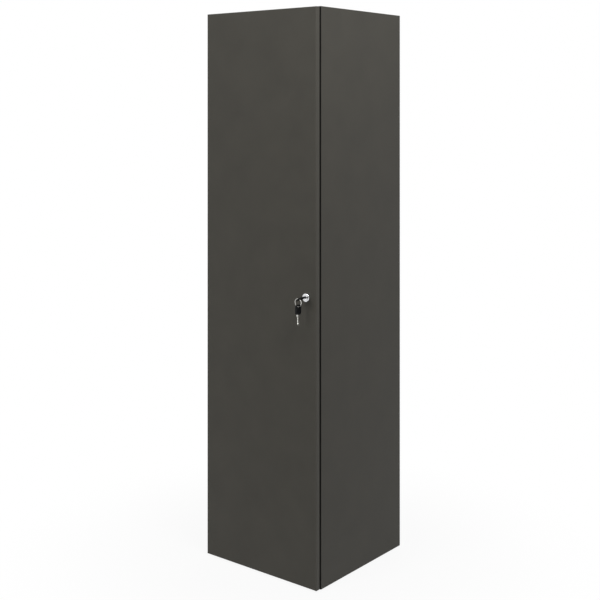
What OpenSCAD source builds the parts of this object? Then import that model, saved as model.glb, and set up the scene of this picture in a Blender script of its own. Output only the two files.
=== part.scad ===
// Single-door locker of faced board: carcass, one overlay door on concealed
// cup hinges, a cam lock with its key ring, a hat shelf, a clothes rail and
// levelling glides. X is to the right, the front faces -Y, Z is up from the floor.

/* [Cabinet] */
// Overall width over both sides
overall_w = 500; // [420:1:640]
// Overall height from the floor to the top
overall_h = 1950; // [1700:1:2200]
// Depth of the carcass without the door
carcass_d = 475; // [400:1:600]
// Thickness of the carcass boards
board_t = 19; // [18:0.5:22]
// Thickness of the back panel
back_t = 8; // [5:0.5:9]
// Distance from the rear edge to the back panel
back_inset = 12; // [8:0.5:16]
// Depth of the groove that holds the back panel
groove_depth = 8; // [5:0.5:9]
// Clearance of the back panel in its groove, each side
groove_fit = 0.15; // [0.05:0.05:0.3]
// Thickness of the edge bands
edge_t = 2; // [1:0.1:2.5]
// Rounding of the edge bands
edge_r = 1.4; // [0.5:0.1:2]

/* [Door] */
// Thickness of the door with its faces
door_t = 19; // [18:0.5:22]
// Gap between the door and the carcass
door_gap = 4; // [3.5:0.1:5]
// Step from the carcass outline in to the door outline
door_reveal = 2; // [1:0.1:3]
// Diameter of the soft stops behind the door
buffer_d = 10; // [7:0.5:12]
// Air left between a soft stop and the carcass
buffer_air = 0.3; // [0.1:0.05:0.5]
// Distance from the outer stops to the door ends
buffer_inset = 60; // [30:1:120]

/* [Hinges] */
// Number of hinges
hinge_count = 4; // [3:1:5]
// Distance from the outer hinges to the door ends
hinge_inset = 110; // [90:1:140]
// Distance from the hinge pin to the door edge
pin_edge = 7.5; // [7:0.1:7.8]
// Depth of the hinge pin behind the inner face of the door
pin_depth = 8.5; // [8:0.1:9]
// Diameter of the hinge pin
pin_d = 3; // [2.5:0.1:3.2]
// Running clearance of the pin in the arm, on the radius
pin_fit = 0.05; // [0.02:0.01:0.1]
// Length of the hinge pin
pin_l = 20; // [18:0.5:21]
// Outer diameter of the knuckle round the pin
knuckle_d = 4.8; // [4.4:0.1:4.8]
// Diameter of the hinge cup
cup_d = 35; // [35:0.1:36]
// Depth of the hinge cup in the door
cup_depth = 12.5; // [12:0.1:13]
// Board left between the cup and the door edge
cup_edge = 3; // [3:0.1:3.4]
// Floor thickness of the hinge cup
cup_floor = 1; // [0.8:0.1:1.2]
// Thickness of the cup flange
flange_t = 1; // [0.8:0.1:1.2]
// Distance between the two screws of a cup flange
flange_pitch = 48; // [44:0.5:52]
// Thickness of the hinge arm
arm_t = 3; // [2.5:0.1:3]
// Width of the hinge arm in the cup
neck_w = 12; // [10:0.5:12.5]
// Width of the hinge arm on its plate
arm_w = 18; // [15:0.5:22]
// Distance from the carcass front to the wide part of the arm
arm_start = 12; // [8:0.5:16]
// Length of the wide part of the arm
arm_l = 50; // [46:0.5:60]
// Height of the folded edges of the arm
arm_fold = 4; // [2:0.5:6]
// Thickness of the mounting plate under the arm
plate_h = 5; // [4.5:0.1:5.5]
// Distance from the carcass front to the plate screws
plate_setback = 37; // [36:0.5:38]
// Distance between the two plate screws
plate_pitch = 32; // [30:0.5:36]
// Length of the mounting plate, front to back
plate_l = 34; // [30:0.5:40]

/* [Lock] */
// Distance from the lock axis to the door edge
lock_edge = 39; // [39:0.5:42]
// Diameter of the lock head
lock_head_d = 28; // [24:0.5:30]
// How far the lock head stands out of the door
lock_head_l = 8; // [6:0.5:12]
// Diameter of the lock barrel in the door
barrel_d = 21.5; // [20:0.1:22]
// Clearance of the barrel in the door, on the radius
barrel_fit = 0.25; // [0.1:0.05:0.5]
// How far the barrel stands out behind the door
barrel_l = 12; // [10:0.5:14]
// Diameter of the lock plug
plug_d = 14; // [13:0.1:15]
// Running clearance of the plug, on the radius
plug_fit = 0.06; // [0.03:0.01:0.1]
// How far the plug lies behind the face of the lock head
plug_recess = 0.6; // [0.2:0.1:1]
// Width over the flats of the lock nut
nut_af = 27; // [25:0.5:30]
// Thickness of the lock nut
nut_t = 5; // [3:0.5:6]
// Reach of the locking cam from its axis
cam_reach = 19; // [18:0.5:19.5]
// Width of the locking cam
cam_w = 16; // [14:0.5:17]
// Thickness of the locking cam
cam_t = 2.5; // [2:0.1:3]
// Square end of the plug that drives the cam
drive_w = 7; // [6:0.1:8]
// Air between the cam and the keeper when locked
cam_air = 0.8; // [0.4:0.1:1.5]
// Width of the keeper lip that the cam goes behind
keeper_lip = 9.5; // [8:0.5:10]
// Depth of the keeper leg on the side
keeper_leg = 34; // [28:0.5:45]
// Height of the keeper
keeper_h = 44; // [36:0.5:60]
// Sheet thickness of the keeper and wall brackets
sheet_t = 2; // [1.5:0.1:2.5]

/* [Keys] */
// Width of a key head
head_w = 28; // [24:0.5:28.5]
// Length of a key head
head_l = 33; // [30:0.5:35]
// Thickness of a key head
head_t = 4.5; // [3:0.1:4.6]
// Corner radius of a key head
head_r = 7; // [4:0.5:9]
// Length of the metal shoulder of a key
shoulder_l = 7.5; // [5:0.5:10]
// Width of the metal shoulder of a key
shoulder_w = 16; // [12:0.5:18]
// Length of a key blade
blade_l = 28; // [24:0.5:29]
// Width of a key blade
blade_w = 8; // [7:0.1:8.5]
// Thickness of a key blade
blade_t = 2.2; // [1.8:0.1:2.4]
// Clearance of the blade in the keyway, each side
blade_fit = 0.2; // [0.1:0.05:0.3]
// Number of cuts along a key blade
cut_count = 5; // [3:1:6]
// Length of the ring slot across a key head
slot_w = 12; // [11.5:0.1:13]
// Width of the ring slot along a key head
slot_h = 5; // [4.6:0.1:5.5]
// Distance from the ring slot to the end of the head
slot_end = 7.5; // [7:0.1:8]
// Mean diameter of the split ring
ring_d = 26; // [26:0.5:29]
// Thickness of the split ring
ring_wire = 2; // [1.6:0.1:2.1]
// Turn of the keyway and key 1 from level, in degrees
key_turn = 28; // [28:1:34]
// Lean of the ring under the key head, in degrees
ring_lean = 21; // [21:1:28]
// Air between the ring and the slot of the spare key
ring_air = 0.4; // [0.3:0.05:0.5]

/* [Interior] */
// Clear height of the hat compartment
hat_h = 300; // [220:1:400]
// Distance from the carcass front to the shelf
shelf_setback = 24; // [15:1:60]
// Air at the sides and back of the shelf
shelf_air = 0.5; // [0.2:0.1:1]
// Diameter of the shelf supports and their holes
support_d = 5; // [4:0.5:6]
// Length of a shelf support inside the carcass
support_l = 9; // [7:0.5:12]
// Pitch of the rows of support holes
hole_pitch = 32; // [25:1:40]
// Holes above and below the one in use
hole_spare = 2; // [1:1:4]
// Diameter of the clothes rail
rail_d = 25; // [20:0.5:30]
// Wall of the clothes rail
rail_wall = 1.2; // [1:0.1:2]
// Distance from the shelf down to the rail axis
rail_drop = 50; // [40:1:80]
// Diameter of the rail socket flange
socket_d = 48; // [44:1:60]
// Length of the rail socket
socket_l = 13; // [9:0.5:18]

/* [Joinery] */
// Distance from the front and back to the connectors
joint_end = 100; // [80:1:140]
// Distance from a connector to its dowel
dowel_offset = 32; // [25:1:40]
// Diameter of the dowels
dowel_d = 8; // [6:0.5:9]
// Length of the dowels
dowel_l = 30; // [25:1:34]
// Diameter of the connector cams
connector_d = 15; // [12:0.5:16]
// Distance from the side to the connector cam axis
connector_reach = 24; // [24:0.5:34]

/* [Glides] */
// Height of the carcass above the floor
foot_gap = 6; // [5:0.5:10]
// Diameter of a glide
glide_d = 30; // [24:1:40]
// Diameter of a glide stem
stem_d = 10; // [8:0.5:10]
// Outer diameter of the threaded sleeve of a glide
sleeve_d = 16; // [14:0.5:18]
// Running clearance of the stem, on the radius
stem_fit = 0.08; // [0.04:0.01:0.1]
// Distance from the inner face of the side to the glide axis
glide_side = 30; // [25:1:60]
// Distance from the front and back to the glide axes
glide_end = 48; // [40:1:60]

/* [Wall fixing] */
// Distance from the side to the middle of a wall bracket
wall_inset = 51; // [46:1:90]
// Diameter of the wall fixing holes
wall_hole = 7; // [5:0.5:8]
// Length of the legs of a wall bracket
bracket_leg = 36; // [30:1:50]
// Width of a wall bracket
bracket_w = 30; // [20:1:40]

/* [Hidden] */
$fn = 48;
eps = 0.01;

face_col = "#4a4943";
edge_col = "#45443f";
zinc_col = "#b9bbbd";
chrome_col = "#d9dadc";
black_col = "#1b1b1c";
wood_col = "#c9a878";
plastic_col = "#2a2a2b";

// Key reach in front of the lock and the depth of the whole object
key_reach = shoulder_l + head_l;
slot_reach = key_reach - slot_end;
front_reach = lock_head_l + max(key_reach, slot_reach + head_w / 2);
overall_d = front_reach + door_t + door_gap + carcass_d;

// Planes from front to back
y_door = front_reach - overall_d / 2;
y_inner = y_door + door_t;
y_car = y_inner + door_gap;
y_back = overall_d / 2;
y_core = y_car + edge_t;
y_panel = y_back - back_inset - back_t;
y_lock = y_door - lock_head_l;

// Planes from side to side and from the floor up
x_out = overall_w / 2;
x_in = x_out - board_t;
z_low = foot_gap;
z_floor = z_low + board_t;
z_ceil = overall_h - board_t;
z_shelf = z_ceil - hat_h;
z_rail = z_shelf - board_t - rail_drop;

// Door outline
door_x = x_out - door_reveal;
door_z0 = z_low + door_reveal;
door_z1 = overall_h - door_reveal;
door_mid = (door_z0 + door_z1) / 2;

// Hinge line, cups and arms
pin_x = pin_edge - door_x;
pin_y = y_inner - pin_depth;
cup_x = cup_edge + cup_d / 2 - door_x;
neck_x = plate_h + arm_t / 2 - x_in;
hinge_step = (door_z1 - door_z0 - 2 * hinge_inset) / (hinge_count - 1);
hinge_zs = [for (i = [0 : hinge_count - 1]) door_z0 + hinge_inset + i * hinge_step];
pocket_air = 0.4;
flange_w = 20;
flange_end = 7;
flange_shift = 5.5;
plate_ear_d = 12;
plate_ear_t = 2.5;
cup_screw_d = 3.5;
cup_screw_l = 12;
plate_screw_d = 5;
plate_screw_l = 11;
arm_screw_d = 6;
screw_head_h = 2.2;

// Lock line
lock_x = door_x - lock_edge;
barrel_end = y_inner + barrel_l;
y_cam = barrel_end + cam_air / 2;
y_keeper = y_cam - cam_air - sheet_t;
plug_len = barrel_end - y_lock - plug_recess;
keeper_screw_d = 4;
keeper_screw_l = 12;
keeper_screw_y = y_keeper + keeper_leg * 0.6;
keeper_screw_z = keeper_h * 0.3;
cam_screw_d = 5;
cam_screw_l = 8;

// Key ring: it leaves the slot of the key head leaning, and the spare key
// hangs from its lowest point
ring_r = ring_d / 2;
slot_y = y_lock - slot_reach;
ring_x = lock_x - ring_r * sin(ring_lean);
ring_z = door_mid - ring_r * cos(ring_lean);
tongue_t = 1.4;
tongue_l = 9;
shoulder_step = 2;
spare_z = ring_z - ring_r - slot_h / 2 + ring_wire / 2 + ring_air;

// Joinery, supports and small fixings
joint_ys = [y_car + joint_end, y_back - joint_end];
joint_zs = [z_low + board_t / 2, overall_h - board_t / 2];
dowel_in_side = 11;
bolt_d = 6;
bolt_tip_d = 5;
bolt_tip_l = 11;
bolt_head_d = 7;
bolt_head_l = 3;
connector_depth = 13;
support_front = 60;
support_back = 50;
support_ys = [y_car + support_front, y_panel - support_back];
support_z = z_shelf - board_t - support_d / 2;
rail_y = (y_car + y_panel) / 2;
socket_base = 3;
socket_wall = 2;
rail_screw_d = 3.5;
rail_screw_l = 14;
rail_screw_z = (rail_d + socket_d) / 4 + 1;
bracket_screw_d = 4;
bracket_screw_l = 14;
bracket_hole = bracket_leg * 0.6;
wall_z = z_ceil - bracket_hole;
glide_plate = foot_gap - 0.3;
sleeve_l = 16;
stem_l = board_t - 1;
hex_w = 5.5;
hex_depth = 5;

// A cylinder along X from x, centred on y and z
module rod_x(x, y, z, d, l) translate([x, y, z]) rotate([0, 90, 0]) cylinder(d = d, h = l);

// A cylinder along Y from y, centred on x and z
module rod_y(x, y, z, d, l) translate([x, y, z]) rotate([-90, 0, 0]) cylinder(d = d, h = l);

// A pan-head screw: its head lies above the origin, its shank points down
module screw(d, l) {
    head_d = d * 1.9;
    slot = d * 0.22;
    difference() {
        union() {
            cylinder(d1 = head_d, d2 = head_d * 0.8, h = screw_head_h);
            translate([0, 0, -l]) cylinder(d = d, h = l + eps);
        }
        for (a = [0, 90]) rotate([0, 0, a])
            translate([-head_d * 0.3, -slot / 2, screw_head_h / 2])
                cube([head_d * 0.6, slot, screw_head_h]);
    }
}

// A flat bar outline with two rounded outer corners on its far side
module band_outline(w, t) {
    r = min(edge_r, t - 0.1);
    intersection() {
        square([w, t]);
        union() {
            square([w, t - r]);
            translate([r, 0]) square([w - 2 * r, t]);
            for (x = [r, w - r]) translate([x, t - r]) circle(r = r);
        }
    }
}

// Joinery between the sides and the top and bottom boards
module at_joints(y_shift = 0) {
    for (s = [-1, 1], i = [0, 1], z = joint_zs)
        translate([s * x_in, joint_ys[i] + (i == 0 ? y_shift : -y_shift), z])
            mirror([s < 0 ? 0 : 1, 0, 0]) children();
}

module dowel_set(grow = 0) {
    at_joints(dowel_offset)
        rod_x(-dowel_in_side - grow, 0, 0, dowel_d + 2 * grow, dowel_l + 2 * grow);
}

module bolt_set(grow = 0) {
    at_joints() {
        rod_x(-bolt_tip_l - grow, 0, 0, bolt_tip_d, bolt_tip_l + grow + eps);
        rod_x(0, 0, 0, bolt_d + 2 * grow, connector_reach);
        rod_x(connector_reach - bolt_head_l, 0, 0, bolt_head_d + 2 * grow, bolt_head_l + grow);
    }
}

module connector_set(grow = 0) {
    for (s = [-1, 1], y = joint_ys) {
        x = s * (x_in - connector_reach);
        translate([x, y, z_low - grow])
            cylinder(d = connector_d + 2 * grow, h = connector_depth + grow);
        translate([x, y, overall_h - connector_depth])
            cylinder(d = connector_d + 2 * grow, h = connector_depth + grow);
    }
}

// Space of the back panel with its clearance
module back_space(grow) {
    reach = x_in + groove_depth;
    translate([-reach - grow, y_panel - grow, z_floor - groove_depth - grow])
        cube([2 * (reach + grow), back_t + 2 * grow,
              z_ceil - z_floor + 2 * (groove_depth + grow)]);
}

// Shank holes of all screws that go into a side
module side_screw_holes(s) {
    if (s < 0) at_hinges()
        for (z = [-1, 1])
            rod_x(-x_in - plate_screw_l, y_car + plate_setback, z * plate_pitch / 2,
                  plate_screw_d, plate_screw_l + eps);
    if (s > 0)
        for (z = [-1, 1])
            rod_x(x_in - eps, keeper_screw_y, door_mid + z * keeper_screw_z,
                  keeper_screw_d, keeper_screw_l + eps);
    for (z = [-1, 1])
        rod_x(s < 0 ? -x_in - rail_screw_l : x_in - eps, rail_y, z_rail + z * rail_screw_z,
              rail_screw_d, rail_screw_l + eps);
}

module side_board(s) {
    color(face_col) difference() {
        translate([s < 0 ? -x_out : x_in, y_core, z_low])
            cube([board_t, y_back - y_core, overall_h - z_low]);
        back_space(groove_fit);
        dowel_set(0.1);
        bolt_set(0.1);
        side_screw_holes(s);
        for (y = support_ys, k = [-hole_spare : hole_spare])
            rod_x(s < 0 ? -x_in - support_l : x_in - eps, y, support_z + k * hole_pitch,
                  support_d, support_l + eps);
    }
}

module left_side() side_board(-1);

module right_side() side_board(1);

// A board between the sides with its joinery, from the height z up
module cross_board(z) {
    difference() {
        translate([-x_in, y_core, z]) cube([2 * x_in, y_back - y_core, board_t]);
        back_space(groove_fit);
        dowel_set(0.1);
        bolt_set(0.1);
        connector_set(0.1);
    }
}

module top_board() {
    color(face_col) difference() {
        cross_board(z_ceil);
        at_brackets() translate([0, -bracket_hole, -eps])
            cylinder(d = bracket_screw_d, h = bracket_screw_l + eps);
    }
}

module bottom_board() {
    color(face_col) difference() {
        cross_board(z_low);
        for (sx = [-1, 1], sy = [-1, 1])
            at_glide(sx, sy) translate([0, 0, z_low - eps])
                cylinder(d = sleeve_d, h = board_t + 2 * eps);
    }
}

module back_panel() {
    color(face_col) difference() {
        back_space(0);
        at_brackets() rod_y(0, -eps, wall_z - z_ceil, wall_hole, back_t + 2 * eps);
    }
}

module hat_shelf() {
    color(face_col)
        translate([-x_in + shelf_air, y_car + shelf_setback + edge_t, z_shelf - board_t])
            cube([2 * (x_in - shelf_air), y_panel - shelf_air - y_car - shelf_setback - edge_t,
                  board_t]);
}

// Edge bands lie on the front of the boards and are rounded in front
module carcass_edging() {
    color(edge_col) {
        for (s = [-1, 1])
            translate([s < 0 ? -x_out : x_in, y_core, z_low])
                mirror([0, 1, 0]) linear_extrude(overall_h - z_low) band_outline(board_t, edge_t);
        for (z = [z_low, z_ceil])
            translate([-x_in, y_core, z + board_t]) rotate([0, 90, 0])
                mirror([0, 1, 0]) linear_extrude(2 * x_in) band_outline(board_t, edge_t);
    }
}

module shelf_edging() {
    color(edge_col)
        translate([-x_in + shelf_air, y_car + shelf_setback + edge_t, z_shelf])
            rotate([0, 90, 0]) mirror([0, 1, 0])
                linear_extrude(2 * (x_in - shelf_air)) band_outline(board_t, edge_t);
}

// Cup bores, screw holes and the lock bore of the door
module door_cuts() {
    at_hinges() {
        rod_y(cup_x, y_inner - cup_depth, 0, cup_d, cup_depth + eps);
        for (z = [-1, 1])
            rod_y(cup_x + flange_shift, y_inner - cup_screw_l, z * flange_pitch / 2,
                  cup_screw_d, cup_screw_l + eps);
    }
    rod_y(lock_x, y_door - eps, door_mid, barrel_d + 2 * barrel_fit, door_t + 2 * eps);
}

module door_board() {
    color(face_col) difference() {
        translate([edge_t - door_x, y_door, door_z0 + edge_t])
            cube([2 * (door_x - edge_t), door_t, door_z1 - door_z0 - 2 * edge_t]);
        door_cuts();
    }
}

// Upright bands run the full height, the top and bottom bands lie between them
module door_edging() {
    h = door_z1 - door_z0;
    w = 2 * (door_x - edge_t);
    color(edge_col) {
        for (s = [0, 1]) mirror([s, 0, 0])
            translate([door_x - edge_t, y_door + door_t, door_z0])
                rotate([0, 0, -90]) linear_extrude(h) band_outline(door_t, edge_t);
        for (s = [0, 1])
            translate([0, y_door + door_t, door_mid]) mirror([0, 0, s])
                translate([-w / 2, 0, h / 2 - edge_t]) rotate([0, 0, -90]) rotate([90, 0, 0])
                    translate([0, 0, -w]) linear_extrude(w) band_outline(door_t, edge_t);
    }
}

module at_hinges() {
    for (z = hinge_zs) translate([0, 0, z]) children();
}

module hinge_cups() {
    pocket_x = pin_x - knuckle_d / 2 - pocket_air;
    pocket_end = neck_x + arm_t / 2 + 3;
    color(zinc_col) at_hinges() difference() {
        union() {
            rod_y(cup_x, y_inner - cup_depth, 0, cup_d, cup_depth + flange_t);
            translate([cup_x + flange_shift - flange_w / 2, y_inner,
                       -flange_pitch / 2 - flange_end])
                cube([flange_w, flange_t, flange_pitch + 2 * flange_end]);
        }
        translate([pocket_x, y_inner - cup_depth + cup_floor, -neck_w / 2 - pocket_air])
            cube([pocket_end - pocket_x, cup_depth + flange_t, neck_w + 2 * pocket_air]);
        translate([pin_x, pin_y, -pin_l / 2]) cylinder(d = pin_d, h = pin_l);
        for (z = [-1, 1])
            rod_y(cup_x + flange_shift, y_inner - eps, z * flange_pitch / 2,
                  cup_screw_d, flange_t + 2 * eps);
    }
}

module hinge_pins() {
    color(zinc_col) at_hinges() translate([pin_x, pin_y, -pin_l / 2])
        cylinder(d = pin_d, h = pin_l);
}

// The arm turns round the pin, leaves the cup and lies on its mounting plate
module hinge_arms() {
    color(zinc_col) at_hinges() difference() {
        union() {
            translate([pin_x, pin_y, -neck_w / 2]) cylinder(d = knuckle_d, h = neck_w);
            translate([pin_x, pin_y - arm_t / 2, -neck_w / 2])
                cube([neck_x - pin_x + arm_t / 2, arm_t, neck_w]);
            translate([neck_x - arm_t / 2, pin_y - arm_t / 2, -neck_w / 2])
                cube([arm_t, y_car + arm_start - pin_y + arm_t / 2 + eps, neck_w]);
            translate([neck_x - arm_t / 2, y_car + arm_start, -arm_w / 2])
                cube([arm_t, arm_l, arm_w]);
            for (z = [-arm_w / 2, arm_w / 2 - arm_t / 2])
                translate([neck_x, y_car + arm_start, z])
                    cube([arm_t / 2 + arm_fold, arm_l, arm_t / 2]);
        }
        translate([pin_x, pin_y, -neck_w])
            cylinder(d = pin_d + 2 * pin_fit, h = 2 * neck_w);
        rod_x(neck_x - arm_t, y_car + plate_setback, 0, arm_screw_d, 2 * arm_t);
    }
}

module hinge_plates() {
    color(zinc_col) at_hinges() difference() {
        union() {
            translate([-x_in, y_car + plate_setback - plate_l / 2, -arm_w / 2])
                cube([plate_h, plate_l, arm_w]);
            for (z = [-1, 1])
                rod_x(-x_in, y_car + plate_setback, z * plate_pitch / 2, plate_ear_d, plate_ear_t);
            translate([-x_in, y_car + plate_setback - plate_ear_d / 2, -plate_pitch / 2])
                cube([plate_ear_t, plate_ear_d, plate_pitch]);
        }
        rod_x(-x_in - eps, y_car + plate_setback, 0, arm_screw_d, plate_h + 2 * eps);
        for (z = [-1, 1])
            rod_x(-x_in - eps, y_car + plate_setback, z * plate_pitch / 2,
                  plate_screw_d, plate_h);
    }
}

module cup_screws() {
    color(zinc_col) at_hinges() for (z = [-1, 1])
        translate([cup_x + flange_shift, y_inner + flange_t, z * flange_pitch / 2])
            rotate([-90, 0, 0]) screw(cup_screw_d, cup_screw_l + flange_t);
}

module plate_screws() {
    color(zinc_col) at_hinges() for (z = [-1, 1])
        translate([-x_in + plate_ear_t, y_car + plate_setback, z * plate_pitch / 2])
            rotate([0, 90, 0]) screw(plate_screw_d, plate_screw_l + plate_ear_t);
}

module arm_screws() {
    color(zinc_col) at_hinges()
        translate([neck_x + arm_t / 2, y_car + plate_setback, 0])
            rotate([0, 90, 0]) screw(arm_screw_d, plate_h + arm_t);
}

// The lock head stands out of the door, its barrel reaches through it
module lock_housing() {
    ch = 1.2;
    r = lock_head_d / 2;
    br = barrel_d / 2;
    len = lock_head_l + door_t + barrel_l;
    color(chrome_col) translate([lock_x, y_lock, door_mid]) rotate([-90, 0, 0])
        difference() {
            rotate_extrude($fn = 96) polygon([
                [0, 0], [r - ch, 0], [r, ch], [r, lock_head_l], [br, lock_head_l],
                [br, len], [0, len]
            ]);
            translate([0, 0, -eps]) cylinder(d = plug_d + 2 * plug_fit, h = len + 2 * eps);
        }
}

module lock_nut() {
    color(zinc_col) translate([lock_x, y_inner, door_mid]) rotate([-90, 0, 0])
        difference() {
            cylinder(d = nut_af / cos(30), h = nut_t, $fn = 6);
            translate([0, 0, -eps]) cylinder(d = barrel_d, h = nut_t + 2 * eps);
        }
}

module lock_plug() {
    key_w = blade_w + 2 * blade_fit;
    key_t = blade_t + 2 * blade_fit;
    color(chrome_col) translate([lock_x, y_lock + plug_recess, door_mid]) difference() {
        union() {
            rod_y(0, 0, 0, plug_d, plug_len);
            translate([-drive_w / 2, plug_len - eps, -drive_w / 2])
                cube([drive_w, y_cam - barrel_end + cam_t + eps, drive_w]);
        }
        rotate([0, -key_turn, 0])
            translate([-key_w / 2, -eps, -key_t / 2]) cube([key_w, blade_l + 1, key_t]);
        rod_y(0, plug_len + y_cam - barrel_end + cam_t - cam_screw_l, 0,
              cam_screw_d, cam_screw_l + eps);
    }
}

// Unlocked, the cam points down; a quarter turn takes it behind the keeper
module lock_cam() {
    tip = cam_reach - cam_w / 2;
    color(zinc_col) translate([lock_x, y_cam, door_mid]) difference() {
        union() {
            rod_y(0, 0, 0, cam_w, cam_t);
            translate([-cam_w / 2, 0, -tip]) cube([cam_w, cam_t, tip]);
            rod_y(0, 0, -tip, cam_w, cam_t);
        }
        translate([-drive_w / 2, -eps, -drive_w / 2])
            cube([drive_w, cam_t + 2 * eps, drive_w]);
    }
}

module cam_screw() {
    color(zinc_col) translate([lock_x, y_cam + cam_t, door_mid])
        rotate([-90, 0, 0]) screw(cam_screw_d, cam_screw_l);
}

// Angle on the right side: the cam goes behind its lip
module keeper() {
    color(zinc_col) translate([x_in, y_keeper, door_mid]) difference() {
        union() {
            translate([-keeper_lip, 0, -keeper_h / 2]) cube([keeper_lip, sheet_t, keeper_h]);
            translate([-sheet_t, 0, -keeper_h / 2]) cube([sheet_t, keeper_leg, keeper_h]);
        }
        for (z = [-1, 1])
            rod_x(-sheet_t - eps, keeper_screw_y - y_keeper, z * keeper_screw_z,
                  keeper_screw_d, sheet_t + 2 * eps);
    }
}

module keeper_screws() {
    color(zinc_col) for (z = [-1, 1])
        translate([x_in - sheet_t, keeper_screw_y, door_mid + z * keeper_screw_z])
            rotate([0, -90, 0]) screw(keeper_screw_d, keeper_screw_l + sheet_t);
}

// A key hangs from the centre of its ring slot: the blade points down, the
// width lies along X and the thickness along Y
module key_head_shape() {
    w = head_w / 2 - head_r;
    rotate([90, 0, 0]) translate([0, 0, -head_t / 2]) difference() {
        linear_extrude(head_t) difference() {
            translate([0, slot_end - head_l]) union() {
                translate([-head_w / 2, head_r]) square([head_w, head_l - 2 * head_r]);
                translate([-w, 0]) square([2 * w, head_l]);
                for (x = [-w, w], y = [head_r, head_l - head_r])
                    translate([x, y]) circle(r = head_r);
            }
            square([slot_w - slot_h, slot_h], center = true);
            for (s = [-1, 1]) translate([s * (slot_w - slot_h) / 2, 0]) circle(d = slot_h);
        }
        translate([-shoulder_w / 2, slot_end - head_l - eps, head_t / 2 - tongue_t / 2])
            cube([shoulder_w, tongue_l + eps, tongue_t]);
    }
}

// The metal of a key: a tongue in the head, a shoulder and the cut blade
module key_blade_shape() {
    z_head = slot_end - head_l;
    cut = blade_l / (cut_count + 2);
    translate([-shoulder_w / 2, -tongue_t / 2, z_head])
        cube([shoulder_w, tongue_t, tongue_l]);
    translate([-shoulder_w / 2, -blade_t / 2, z_head - shoulder_l / 2])
        cube([shoulder_w, blade_t, shoulder_l / 2]);
    translate([-shoulder_w / 2 + shoulder_step, -blade_t / 2, z_head - shoulder_l])
        cube([shoulder_w - 2 * shoulder_step, blade_t, shoulder_l / 2]);
    difference() {
        translate([-blade_w / 2, -blade_t / 2, z_head - shoulder_l - blade_l])
            cube([blade_w, blade_t, blade_l + shoulder_l / 2]);
        for (i = [1 : cut_count])
            translate([-blade_w / 2, 0, z_head - shoulder_l - i * cut])
                rotate([0, 45, 0]) cube([cut_size(i), 2 * blade_t, cut_size(i)], center = true);
        translate([-blade_w / 2, 0, z_head - shoulder_l - blade_l])
            rotate([0, 45, 0]) cube([blade_w / 2, 2 * blade_t, blade_w / 2], center = true);
    }
}

// The cuts of the blade differ in depth
function cut_size(i) = 1.2 + 0.5 * (i * 2 % 3);

// Key 1 sits in the turned keyway, the spare key hangs turned to the side
module key_place()
    translate([lock_x, slot_y, door_mid]) rotate([0, -key_turn, 0]) rotate([90, 0, 0]) children();

module spare_place() translate([ring_x, slot_y, spare_z]) rotate([0, 0, 90]) children();

module key_head() color(black_col) key_place() key_head_shape();

module key_blade() color(chrome_col) key_place() key_blade_shape();

module spare_key_head() color(black_col) spare_place() key_head_shape();

module spare_key_blade() color(chrome_col) spare_place() key_blade_shape();

module split_ring() {
    color(chrome_col) translate([ring_x, slot_y, ring_z]) rotate([90, 0, 0])
        rotate_extrude($fn = 96) translate([ring_r, 0]) circle(d = ring_wire, $fn = 24);
}

// Soft stops behind the free edge of the door
module door_stops() {
    color(plastic_col) for (z = [door_z0 + buffer_inset, door_mid, door_z1 - buffer_inset])
        rod_y(x_out - board_t / 2, y_inner, z, buffer_d, door_gap - buffer_air);
}

module shelf_supports() {
    color(zinc_col) for (s = [0, 1], y = support_ys) mirror([s, 0, 0])
        rod_x(-x_in - support_l, y, support_z, support_d, 2 * support_l);
}

module clothes_rail() {
    gap = socket_base;
    color(chrome_col) difference() {
        rod_x(-x_in + gap, rail_y, z_rail, rail_d, 2 * (x_in - gap));
        rod_x(-x_in, rail_y, z_rail, rail_d - 2 * rail_wall, 2 * x_in);
    }
}

module rail_sockets() {
    color(zinc_col) for (s = [0, 1]) mirror([s, 0, 0]) difference() {
        union() {
            rod_x(-x_in, rail_y, z_rail, socket_d, socket_base);
            rod_x(-x_in, rail_y, z_rail, rail_d + 2 * socket_wall, socket_l);
        }
        rod_x(-x_in + socket_base, rail_y, z_rail, rail_d, socket_l);
        for (z = [-1, 1])
            rod_x(-x_in - eps, rail_y, z_rail + z * rail_screw_z, rail_screw_d, socket_l);
    }
}

module rail_screws() {
    color(zinc_col) for (s = [0, 1], z = [-1, 1]) mirror([s, 0, 0])
        translate([-x_in + socket_base, rail_y, z_rail + z * rail_screw_z])
            rotate([0, 90, 0]) screw(rail_screw_d, rail_screw_l + socket_base);
}

module connector_cams() {
    color(zinc_col) difference() {
        connector_set();
        bolt_set(0.1);
    }
}

module connector_bolts() color(zinc_col) bolt_set();

module dowels() color(wood_col) dowel_set();

// Angles at the top, screwed to the top board and, through the back, to a wall
module at_brackets() {
    for (s = [-1, 1]) translate([s * (x_in - wall_inset), y_panel, z_ceil]) children();
}

module wall_brackets() {
    color(zinc_col) at_brackets() difference() {
        union() {
            translate([-bracket_w / 2, -bracket_leg, -sheet_t])
                cube([bracket_w, bracket_leg, sheet_t]);
            translate([-bracket_w / 2, -sheet_t, -bracket_leg])
                cube([bracket_w, sheet_t, bracket_leg]);
        }
        translate([0, -bracket_hole, -sheet_t - eps])
            cylinder(d = bracket_screw_d, h = sheet_t + 2 * eps);
        rod_y(0, -sheet_t - eps, wall_z - z_ceil, wall_hole, sheet_t + 2 * eps);
    }
}

module bracket_screws() {
    color(zinc_col) at_brackets() translate([0, -bracket_hole, -sheet_t])
        rotate([180, 0, 0]) screw(bracket_screw_d, bracket_screw_l + sheet_t);
}

module at_glide(sx, sy) {
    translate([sx * (x_in - glide_side), sy < 0 ? y_car + glide_end : y_back - glide_end, 0])
        children();
}

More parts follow.
